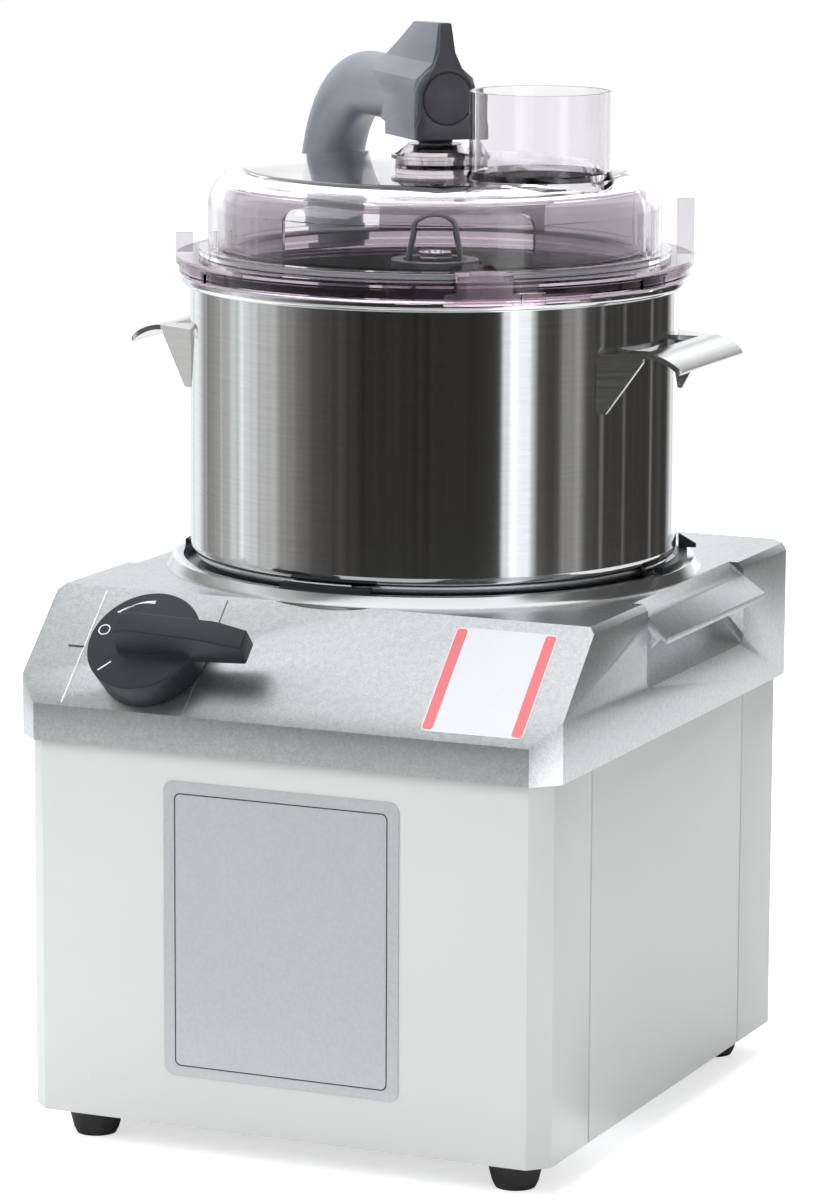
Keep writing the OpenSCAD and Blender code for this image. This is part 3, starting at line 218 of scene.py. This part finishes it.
def polished(name="polished_steel", base=(0.79, 0.81, 0.825), rough=0.055, lines=0.35):
    look = Look(name, base, rough, 1.0)
    brush = look.noise(1.0, 2.0, 0.6, (14.0, 14.0, 2600.0))
    smear = look.noise(1.0, 2.0, 0.5, (60.0, 60.0, 900.0))
    scuffs = look.noise(1.0, 4.0, 0.6, (160.0, 160.0, 35.0)).ramp(0.64, 0.72)
    look.tint(smear.ramp(0.3, 0.7), 0.95, 1.02)
    look.rough(rough + brush * rough * 0.9 + scuffs * 0.05)
    return look.bump(brush * 0.8 + smear * 0.2, 0.000004, lines).material


def satin(name, base, rough, metallic=1.0, scale=900.0):
    look = Look(name, base, rough, metallic)
    grain = look.noise(scale, 3.0, 0.6)
    look.tint(grain.ramp(0.3, 0.7), 0.95, 1.04)
    look.rough(rough * 0.85 + grain * rough * 0.3)
    return look.bump(grain, 0.00002, 0.4).material


def moulded(name, base, rough, grain_scale=1400.0, depth=0.00006, coat=0.0):
    look = Look(name, base, rough, Coat_Weight=coat, Specular_IOR_Level=0.45)
    grain = look.noise(grain_scale, 2.0, 0.7)
    cells = look.voronoi(grain_scale * 0.9)
    worn = look.noise(35.0, 4.0, 0.6)
    look.tint(worn.ramp(0.35, 0.7), 0.9, 1.12)
    look.rough(rough - 0.06 + worn * 0.12)
    return look.bump(grain * 0.5 + cells * 0.5, depth, 0.6).material


def ink(name, base, rough=0.42):
    look = Look(name, base, rough)
    grain = look.noise(700.0, 2.0)
    look.tint(grain.ramp(0.3, 0.7), 0.98, 1.01)
    look.rough(rough + grain * 0.05)
    return look.bump(grain, 0.00001, 0.3).material


def rubber():
    look = Look("foot_rubber", (0.022, 0.022, 0.022), 0.6)
    dust = look.noise(120.0, 4.0, 0.6)
    look.tint(dust.ramp(0.4, 0.75), 0.8, 1.8)
    look.rough(0.5 + dust * 0.2)
    return look.bump(look.noise(1800.0, 2.0), 0.00004, 0.5).material


def clear(name, base, rough=0.02):
    look = Look(name, base, rough, Transmission_Weight=1.0, IOR=1.49, Specular_IOR_Level=0.5)
    haze = look.noise(30.0, 3.0, 0.6)
    scratch = look.noise(1.0, 3.0, 0.6, (500.0, 40.0, 500.0)).ramp(0.68, 0.76)
    look.tint(haze.ramp(0.3, 0.7), 0.99, 1.01)
    look.rough(rough + haze * 0.015 + scratch * 0.03)
    return look.bump(look.noise(45.0, 2.0), 0.00006, 0.25).material


def copper():
    look = Look("copper_wire", (0.50, 0.20, 0.08), 0.35, 0.9)
    strand = look.noise(1.0, 2.0, 0.5, (900.0, 900.0, 60.0))
    look.tint(strand.ramp(0.3, 0.7), 0.6, 1.2)
    look.rough(0.3 + strand * 0.2)
    return look.bump(strand, 0.0002, 0.7).material


LOOKS = {
    "cabinet_paint": painted(),
    "cast_aluminium": cast_metal(),
    "polished_steel": polished(),
    "zinc_steel": satin("zinc_steel", (0.52, 0.53, 0.55), 0.32),
    "motor_iron": satin("motor_iron", (0.16, 0.17, 0.19), 0.5, 0.7, 300.0),
    "bronze": satin("bronze", (0.45, 0.32, 0.15), 0.38),
    "black_plastic": moulded("black_plastic", (0.020, 0.0225, 0.029), 0.38),
    "white_plastic": moulded("white_plastic", (0.72, 0.72, 0.70), 0.4),
    "arm_plastic": moulded("arm_plastic", (0.20, 0.225, 0.265), 0.36, 1200.0, 0.00007, 0.12),
    "foot_rubber": rubber(),
    "clear_plastic": clear("clear_plastic", (0.91, 0.895, 0.92), 0.015),
    "purple_plastic": clear("purple_plastic", (0.36, 0.30, 0.35)),
    "copper_wire": copper(),
}
HANDLE_STEEL = polished("handle_steel", (0.72, 0.72, 0.71), 0.16, 0.25)
KNIFE_STEEL = polished("knife_steel", (0.75, 0.76, 0.78), 0.12, 0.4)
END_FACE = moulded("end_face_plastic", (0.060, 0.060, 0.070), 0.42)
SEAL_GREY = moulded("seal_grey", (0.30, 0.30, 0.31), 0.6)
SMOKY = clear("smoky_plastic", (0.52, 0.48, 0.50), 0.03)
CATCH = clear("catch_plastic", (0.76, 0.66, 0.72), 0.03)
TAB = clear("tab_plastic", (0.72, 0.70, 0.74), 0.06)
GATE_LOOK = clear("gate_plastic", (0.10, 0.09, 0.11), 0.05)
WIRE = satin("bail_wire", (0.10, 0.10, 0.105), 0.34)

# Each node takes its slot's look, or one of its own
OWN_LOOKS = {
    "handle_right": HANDLE_STEEL, "handle_left": HANDLE_STEEL, "bowl_lugs": HANDLE_STEEL,
    "lower_knife": KNIFE_STEEL, "upper_knife": KNIFE_STEEL, "lifting_bail": WIRE,
    "arm_end_cap": END_FACE, "lid_seal": SEAL_GREY, "lid_boss": SMOKY, "lid_catch": CATCH,
    "finger_tab_right": TAB, "finger_tab_left": TAB,
}
slots = {part["node"]: part["material_slot"] for part in frame["record"]["subparts"]}
for name, thing in frame["nodes"].items():
    thing.data.materials.clear()
    thing.data.materials.append(OWN_LOOKS.get(name, LOOKS[slots[name]]))


def linked(name, mesh, look, body):
    """A new piece with its place in its mesh, riding on a body."""
    made = bpy.data.objects.new(name, mesh)
    scene.collection.objects.link(made)
    mesh.materials.append(look)
    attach(made, body)


# Nodes shown with rounded edges, and each one's edge radius
EDGE_ROUNDS = {
    "top_casting": 1.6 * MM, "cabinet": 1.2 * MM, "control_knob": 0.9 * MM, "lid_arm": 1.0 * MM,
    "arm_end_cap": 0.5 * MM,
}
ROUND_SEGMENTS = 3
WELD_DISTANCE = 0.01 * MM
FLAT_ANGLE, ROUND_ANGLE, SHARP_ANGLE = math.radians(0.6), math.radians(32), math.radians(40)


def rounded_copy(node_name, radius):
    """A copy of a node with its edges rounded, which stands for the node."""
    source = frame["nodes"][node_name]
    mesh = source.data.copy()
    work = bmesh.new()
    work.from_mesh(mesh)
    bmesh.ops.remove_doubles(work, verts=work.verts, dist=WELD_DISTANCE)
    bmesh.ops.dissolve_limit(work, angle_limit=FLAT_ANGLE, verts=work.verts, edges=work.edges)
    work.to_mesh(mesh)
    work.free()
    piece = bpy.data.objects.new(node_name + "_rounded", mesh)
    scene.collection.objects.link(piece)
    bevel = piece.modifiers.new("edge", "BEVEL")
    bevel.width = radius
    bevel.segments = ROUND_SEGMENTS
    bevel.limit_method = "ANGLE"
    bevel.angle_limit = ROUND_ANGLE
    bevel.use_clamp_overlap = True
    bevel.miter_outer = "MITER_ARC"
    graph = bpy.context.evaluated_depsgraph_get()
    done = bpy.data.meshes.new_from_object(piece.evaluated_get(graph))
    piece.modifiers.clear()
    piece.data = done
    done.shade_smooth()
    done.set_sharp_from_angle(angle=SHARP_ANGLE)
    done.materials.clear()
    done.materials.append(source.data.materials[0])
    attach(piece, source["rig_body"])
    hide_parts(node_name)


for name, radius in EDGE_ROUNDS.items():
    rounded_copy(name, radius)


def panel_point(x, s, h):
    """A place on the sloping panel: across, up the slope and off its face."""
    return Vector((x,
                   CAST_FRONT + s * math.cos(PANEL_SLOPE) - h * math.sin(PANEL_SLOPE),
                   PANEL_Z + s * math.sin(PANEL_SLOPE) + h * math.cos(PANEL_SLOPE)))


def rounded_outline(x0, x1, y0, y1, r, steps=6):
    """Corner-rounded rectangle as a list of points, counter-clockwise."""
    points = []
    corners = ((x1 - r, y0 + r, -90), (x1 - r, y1 - r, 0), (x0 + r, y1 - r, 90), (x0 + r, y0 + r, 180))
    for cx, cy, start in corners:
        for k in range(steps + 1):
            a = math.radians(start + 90 * k / steps)
            points.append((cx + r * math.cos(a), cy + r * math.sin(a)))
    return points


def arc_point(r, degrees):
    return (r * math.cos(math.radians(degrees)), r * math.sin(math.radians(degrees)))


def ring_points(cx, cy, r, n=28):
    around = [arc_point(r, 360 * k / n) for k in range(n)]
    return [(cx + u, cy + v) for u, v in around]


def shrunk(box, by):
    """A box (x0, x1, y0, y1) drawn in by one distance on every side."""
    x0, x1, y0, y1 = box
    return (x0 + by, x1 - by, y0 + by, y1 - by)


def slab(name, outline, place, low, high, look, body, inner=None):
    """A thin plate from low to high. place turns (u, v, h) into a point, and inner cuts the middle out."""
    mesh = bpy.data.meshes.new(name)
    work = bmesh.new()
    rings = []
    for loop in (outline, inner) if inner else (outline,):
        rings.append([[work.verts.new(place(u, v, h)) for u, v in loop] for h in (low, high)])
    count = len(outline)
    outer = rings[0]
    if inner:
        hole = rings[1]
        for k in range(count):
            n = (k + 1) % count
            work.faces.new((outer[0][k], outer[0][n], outer[1][n], outer[1][k]))
            work.faces.new((hole[0][n], hole[0][k], hole[1][k], hole[1][n]))
            work.faces.new((outer[1][k], outer[1][n], hole[1][n], hole[1][k]))
            work.faces.new((outer[0][n], outer[0][k], hole[0][k], hole[0][n]))
    else:
        for k in range(count):
            n = (k + 1) % count
            work.faces.new((outer[0][k], outer[0][n], outer[1][n], outer[1][k]))
        work.faces.new(outer[1])
        work.faces.new(list(reversed(outer[0])))
    bmesh.ops.recalc_face_normals(work, faces=work.faces)
    work.to_mesh(mesh)
    work.free()
    linked(name, mesh, look, body)


# Heights off the face that a thin piece lies on: its underside, and the top of ink
ON_FACE = 0.02 * MM
INK_LOW, INK_TOP = 0.01 * MM, 0.08 * MM


# The bare label plate on the front, with its fine border line
def on_front(u, v, h):
    return Vector((u, CABINET_Y - CABINET_D / 2 - h, v))


PLATE_BOX = (-51 * MM, 51 * MM, 34 * MM, 154 * MM)
PLATE_CORNER = 4 * MM
PLATE_TOP = 0.5 * MM
BORDER_BOX = (-46.3 * MM, 46.3 * MM, 38 * MM, 149.3 * MM)
BORDER_LINE = 0.5 * MM
BORDER_CORNER, BORDER_INNER_CORNER = 2.6 * MM, 2.2 * MM
BORDER_LOW, BORDER_TOP = PLATE_TOP + 0.01 * MM, PLATE_TOP + 0.06 * MM
PLATE = satin("plate_silver", (0.57, 0.61, 0.625), 0.36, 0.35, 700.0)
INK = ink("dark_ink", (0.05, 0.05, 0.055))
slab("label_plate", rounded_outline(*PLATE_BOX, PLATE_CORNER), on_front, ON_FACE, PLATE_TOP,
     PLATE, "machine")
slab("label_border", rounded_outline(*BORDER_BOX, BORDER_CORNER), on_front, BORDER_LOW, BORDER_TOP,
     INK, "machine",
     rounded_outline(*shrunk(BORDER_BOX, BORDER_LINE), BORDER_INNER_CORNER))

# Plain sticker on the panel: pale with two coloured side stripes
STICKER_BOX = (60 * MM, 103 * MM, 4 * MM, 54 * MM)
STICKER_CORNER = 2.5 * MM
STICKER_TOP = 0.25 * MM
STRIPE_W, STRIPE_EDGE, STRIPE_END, STRIPE_CORNER = 4.4 * MM, 0.6 * MM, 0.8 * MM, 1.2 * MM
STRIPE_LOW, STRIPE_TOP = STICKER_TOP + 0.01 * MM, STICKER_TOP + 0.07 * MM
WHITE_INK = ink("white_ink", (0.74, 0.765, 0.80))
PINK_INK = ink("pink_ink", (0.78, 0.20, 0.22))
slab("panel_sticker", rounded_outline(*STICKER_BOX, STICKER_CORNER), panel_point, ON_FACE, STICKER_TOP,
     WHITE_INK, "machine")
left_edge, right_edge, lower_edge, upper_edge = STICKER_BOX
for x0, tag in ((left_edge + STRIPE_EDGE, "left"), (right_edge - STRIPE_EDGE - STRIPE_W, "right")):
    stripe = (x0, x0 + STRIPE_W, lower_edge + STRIPE_END, upper_edge - STRIPE_END)
    slab("sticker_stripe_" + tag, rounded_outline(*stripe, STRIPE_CORNER), panel_point,
         STRIPE_LOW, STRIPE_TOP, PINK_INK, "machine")

# Index line beside the dial
INDEX_BOX = (-102 * MM, -95 * MM, 28.6 * MM, 29.5 * MM)
INDEX_CORNER, INDEX_TOP = 0.2 * MM, 0.12 * MM
slab("index_line", rounded_outline(*INDEX_BOX, INDEX_CORNER), panel_point, ON_FACE, INDEX_TOP,
     INK, "machine")


# Small raised gate mark on the dome
def on_dome(u, v, h):
    return Vector((u, BOWL_Y + v, DOME_TOP + h))


GATE = (31.2 * MM, -69.3 * MM)
GATE_R, GATE_HOLE_R, GATE_TOP = 3.2 * MM, 2.2 * MM, 0.5 * MM
slab("gate_mark", ring_points(*GATE, GATE_R), on_dome, ON_FACE, GATE_TOP,
     GATE_LOOK, "machine", ring_points(*GATE, GATE_HOLE_R))

# Fine mould lines each side of the knob's field, coloured with painted light: a painted highlight along the
# left line and painted shade along the right
# Painted shade: a dark ink line where shade falls along the right mould line
LINE_PAINTED_SHADE = ink("line_painted_shade", (0.17, 0.175, 0.18))
# Painted highlight: a pale ink line where light catches the left mould line
LINE_PAINTED_HIGHLIGHT = ink("line_painted_highlight", (0.85, 0.86, 0.87))
LINE_HALF_W, LINE_CORNER = 0.3 * MM, 0.1 * MM
LINE_FOOT, LINE_HEAD = 1.5 * MM, 57.5 * MM
for x, look, tag in ((-95 * MM, LINE_PAINTED_HIGHLIGHT, "left"), (-41 * MM, LINE_PAINTED_SHADE, "right")):
    line = rounded_outline(x - LINE_HALF_W, x + LINE_HALF_W, LINE_FOOT, LINE_HEAD, LINE_CORNER)
    slab("mould_line_painted_light_" + tag, line, panel_point, INK_LOW, INK_TOP, look, "machine")


# White marks on the dial: a ring, a bar and a plain swept band
def on_dial(u, v, h):
    return panel_point(KNOB[0] + u, KNOB[1] + v, KNOB[2] + h)


def dial_mark(name, outline, inner=None):
    slab(name, outline, on_dial, INK_LOW, INK_TOP, WHITE_INK, "knob", inner)


def turned(points, angle, r):
    """Points about the dial's centre, turned to an angle and carried out to a radius."""
    c, s = arc_point(1.0, angle)
    return [((r + u) * c - v * s, (r + u) * s + v * c) for u, v in points]


DIAL_RING = (-18.6 * MM, 3.6 * MM)
DIAL_RING_R, DIAL_RING_HOLE_R = 2.6 * MM, 2.05 * MM
BAR_HALF_L, BAR_HALF_W, BAR_CORNER = 3.2 * MM, 0.32 * MM, 0.1 * MM
BAR_ANGLE, BAR_R = 228, 18.4 * MM
BAND_OUT_R, BAND_IN_R = 19.6 * MM, 18.9 * MM
BAND_FROM, BAND_TO, BAND_STEP = 92, 142, 3
BAND_SWELL, BAND_DRAW_IN = 1.6 * MM, 0.05


def band_inner(degrees):
    """The band's inner radius, which makes it widest where it starts."""
    share = (degrees - BAND_FROM) / (BAND_TO - BAND_FROM)
    return (BAND_IN_R + BAND_SWELL * share) * (1 - BAND_DRAW_IN * (1 - share))


dial_mark("dial_ring_mark", ring_points(*DIAL_RING, DIAL_RING_R), ring_points(*DIAL_RING, DIAL_RING_HOLE_R))
bar = rounded_outline(-BAR_HALF_L, BAR_HALF_L, -BAR_HALF_W, BAR_HALF_W, BAR_CORNER)
dial_mark("dial_bar_mark", turned(bar, BAR_ANGLE, BAR_R))
band = [arc_point(BAND_OUT_R, a) for a in range(BAND_TO, BAND_FROM - 1, -BAND_STEP)]
band += [arc_point(band_inner(a), a) for a in range(BAND_FROM + 2, BAND_TO + 1, BAND_STEP)]
dial_mark("dial_band_mark", band[::-1])


# Floor, backdrop and light. Glossy rays meet a darker floor in front and a bright strip of it on the right
FLOOR_HALF = 6.0
FLOOR_GLOW = 0.60
DARK_FRONT_Y, DARK_FRONT_X, DARK_FRONT_TONE = -0.28, 0.75, 0.45
STRIP_GLOW = 1.0
STRIP_STARTS, STRIP_ENDS = (-0.72, -0.60), (-0.36, -0.24)  # azimuths in radians


def floor_look():
    look = Look("floor_white", (0.92, 0.92, 0.92), 0.8)
    rays = node(look.tree, "ShaderNodeLightPath")
    glossy = Val(look.tree, rays.outputs["Is Glossy Ray"])
    front = look.y.below(DARK_FRONT_Y) * look.x.below(DARK_FRONT_X) * glossy
    look.tint(1.0 - front, DARK_FRONT_TONE, 1.0)
    azimuth = (look.y - BOWL_Y).math("ARCTAN2", look.x)
    strip = azimuth.ramp(*STRIP_STARTS) * (1.0 - azimuth.ramp(*STRIP_ENDS)) * glossy
    seen = Val(look.tree, rays.outputs["Is Camera Ray"]) + Val(look.tree, rays.outputs["Is Transmission Ray"])
    seen = seen.clamp(0.0, 1.0)
    look.shader.inputs["Emission Color"].default_value = (1.0, 1.0, 1.0, 1.0)
    put(look.tree, look.shader.inputs["Emission Strength"], seen * FLOOR_GLOW + strip * STRIP_GLOW)
    return look.material


floor_mesh = bpy.data.meshes.new("floor")
floor_corners = [(x * FLOOR_HALF, y * FLOOR_HALF, 0) for x, y in ((-1, -1), (1, -1), (1, 1), (-1, 1))]
floor_mesh.from_pydata(floor_corners, [], [(0, 1, 2, 3)])
floor = bpy.data.objects.new("floor", floor_mesh)
scene.collection.objects.link(floor)
floor_mesh.materials.append(floor_look())

# An upright ring of light and dark that the polished bowl mirrors: azimuth in degrees, and brightness there
CARD_R, CARD_LOW, CARD_HIGH = 1.15, 0.002, 1.7
CARD_STEPS = 720
GLOW = (
    (78, 0.80), (84, 1.40), (98, 1.35), (106, 0.98), (125, 0.90), (150, 0.90), (158, 0.62), (166, 0.30),
    (176, 0.42), (187, 0.50), (193, 0.85), (202, 0.75), (212, 0.55), (224, 0.26), (238, 0.09), (262, 0.032),
    (318, 0.032), (323, 0.06), (325, 1.1), (337, 1.1), (341, 0.08), (351, 0.07), (354, 0.26), (362, 0.28),
    (367, 0.06), (374, 0.05), (375.5, 0.22), (377, 0.05), (389, 0.045), (390, 0.20), (391.5, 0.045),
    (411, 0.045), (412.5, 0.25), (414, 0.05), (431, 0.06), (436, 0.45), (438, 0.80),
)
# Hue where the ring is darkest and where it is lightest
GLOW_WARM, GLOW_COOL = (1.0, 0.94, 0.87, 1.0), (0.96, 0.985, 1.0, 1.0)
STREAK_PITCH, STREAK_DEPTH, STREAK_COUNT = 1.7, 0.45, 400
STREAKS = [random.uniform(-1.0, 1.0) ** 3 for _ in range(STREAK_COUNT)]


def streak_at(azimuth):
    """Uneven upright streaks in the mirrored room."""
    at = azimuth / STREAK_PITCH
    low = int(at)
    here, after = STREAKS[low % STREAK_COUNT], STREAKS[(low + 1) % STREAK_COUNT]
    return 1.0 + STREAK_DEPTH * (here + (after - here) * (at - low))


def glow_at(azimuth):
    for (a0, g0), (a1, g1) in zip(GLOW, GLOW[1:]):
        if a0 <= azimuth <= a1:
            return (g0 + (g1 - g0) * (azimuth - a0) / (a1 - a0)) * streak_at(azimuth)
    return GLOW[-1][1]


def card_look():
    material = bpy.data.materials.new("card_glow")
    material.use_nodes = True
    tree = material.node_tree
    tree.nodes.clear()
    level = node(tree, "ShaderNodeAttribute", {"attribute_name": "glow"}).outputs["Fac"]
    hue = node(tree, "ShaderNodeMix", {"data_type": "RGBA"})
    for slot, value in ((0, level), (6, GLOW_WARM), (7, GLOW_COOL)):
        put(tree, hue.inputs[slot], value)
    glow = node(tree, "ShaderNodeEmission", Color=hue.outputs[2], Strength=level)
    node(tree, "ShaderNodeOutputMaterial", Surface=glow.outputs[0])
    return material


def card_ring():
    points, faces, levels = [], [], []
    for k in range(CARD_STEPS):
        azimuth = GLOW[0][0] + 360 * k / CARD_STEPS
        x, y = arc_point(CARD_R, azimuth)
        for z in (CARD_LOW, CARD_HIGH):
            points.append((x, BOWL_Y + y, z))
            levels.append(glow_at(azimuth))
        n = (k + 1) % CARD_STEPS
        faces.append((2 * k, 2 * k + 1, 2 * n + 1, 2 * n))
    mesh = bpy.data.meshes.new("card_ring")
    mesh.from_pydata(points, [], faces)
    layer = mesh.attributes.new("glow", "FLOAT", "POINT")
    for item, level in zip(layer.data, levels):
        item.value = level
    mesh.materials.append(card_look())
    ring = bpy.data.objects.new("card_ring", mesh)
    scene.collection.objects.link(ring)
    ring.visible_camera = False
    ring.visible_diffuse = False
    ring.visible_transmission = False
    ring.visible_shadow = False


card_ring()

# Soft lights that the polished pieces don't mirror: place, size in metres and power in watts
TARGET = (0.0, BOWL_Y, 0.25)
LIGHTS = (
    ("key_light", (-1.3, -1.7, 1.5), (1.4, 1.4), 30.0),
    ("fill_light", (1.55, -1.15, 0.7), (1.2, 1.4), 5.8),
    ("top_light", (-0.3, 0.4, 2.2), (2.0, 2.0), 42.0),
)
for name, place, size, power in LIGHTS:
    light = bpy.data.lights.new(name, "AREA")
    light.shape = "RECTANGLE"
    light.size, light.size_y = size
    light.energy = power
    lamp = bpy.data.objects.new(name, light)
    scene.collection.objects.link(lamp)
    lamp.location = place
    lamp.rotation_euler = (Vector(TARGET) - Vector(place)).to_track_quat("-Z", "Y").to_euler()
    lamp.visible_glossy = False

# The room lights softly, looks white to the camera and through the lid, and is bright in mirrors
ROOM_LIGHT, ROOM_SEEN, ROOM_MIRRORED = 0.38, 0.62, 0.78
world = bpy.data.worlds.new("studio")
scene.world = world
world.use_nodes = True
tree = world.node_tree
tree.nodes.clear()
rays = node(tree, "ShaderNodeLightPath")
seen = Val(tree, rays.outputs["Is Camera Ray"]) + Val(tree, rays.outputs["Is Transmission Ray"])
mirrored = Val(tree, rays.outputs["Is Glossy Ray"])
strength = seen.clamp(0.0, 1.0) * ROOM_SEEN + ROOM_LIGHT + mirrored * ROOM_MIRRORED
background = node(tree, "ShaderNodeBackground", Color=(1.0, 1.0, 1.0, 1.0), Strength=strength)
node(tree, "ShaderNodeOutputWorld", Surface=background.outputs[0])

# Camera
CAMERA_AT = Vector((0.85485, -1.93017 + CABINET_Y, 0.5894))
YAW, PITCH, ROLL = math.radians(23.9), math.radians(10.216), math.radians(0.24959)
forward = Vector((-math.sin(YAW) * math.cos(PITCH), math.cos(YAW) * math.cos(PITCH), -math.sin(PITCH)))
right = Vector((math.cos(YAW), math.sin(YAW), 0.0))
up = right.cross(forward)
side = right * math.cos(ROLL) + up * math.sin(ROLL)
top = up * math.cos(ROLL) - right * math.sin(ROLL)
SENSOR = 36.0
FOCAL_PIXELS, PHOTO_HEIGHT = 5202.81, 1200.0
lens = bpy.data.cameras.new("camera")
lens.sensor_fit = "VERTICAL"
lens.sensor_height = SENSOR
lens.sensor_width = SENSOR
lens.lens = FOCAL_PIXELS * SENSOR / PHOTO_HEIGHT
lens.clip_start = 0.01
lens.clip_end = 50.0
camera = bpy.data.objects.new("camera", lens)
scene.collection.objects.link(camera)
camera.matrix_world = Matrix((
    (side.x, top.x, -forward.x, CAMERA_AT.x),
    (side.y, top.y, -forward.y, CAMERA_AT.y),
    (side.z, top.z, -forward.z, CAMERA_AT.z),
    (0.0, 0.0, 0.0, 1.0),
))
scene.camera = camera
scene.view_settings.view_transform = "Standard"
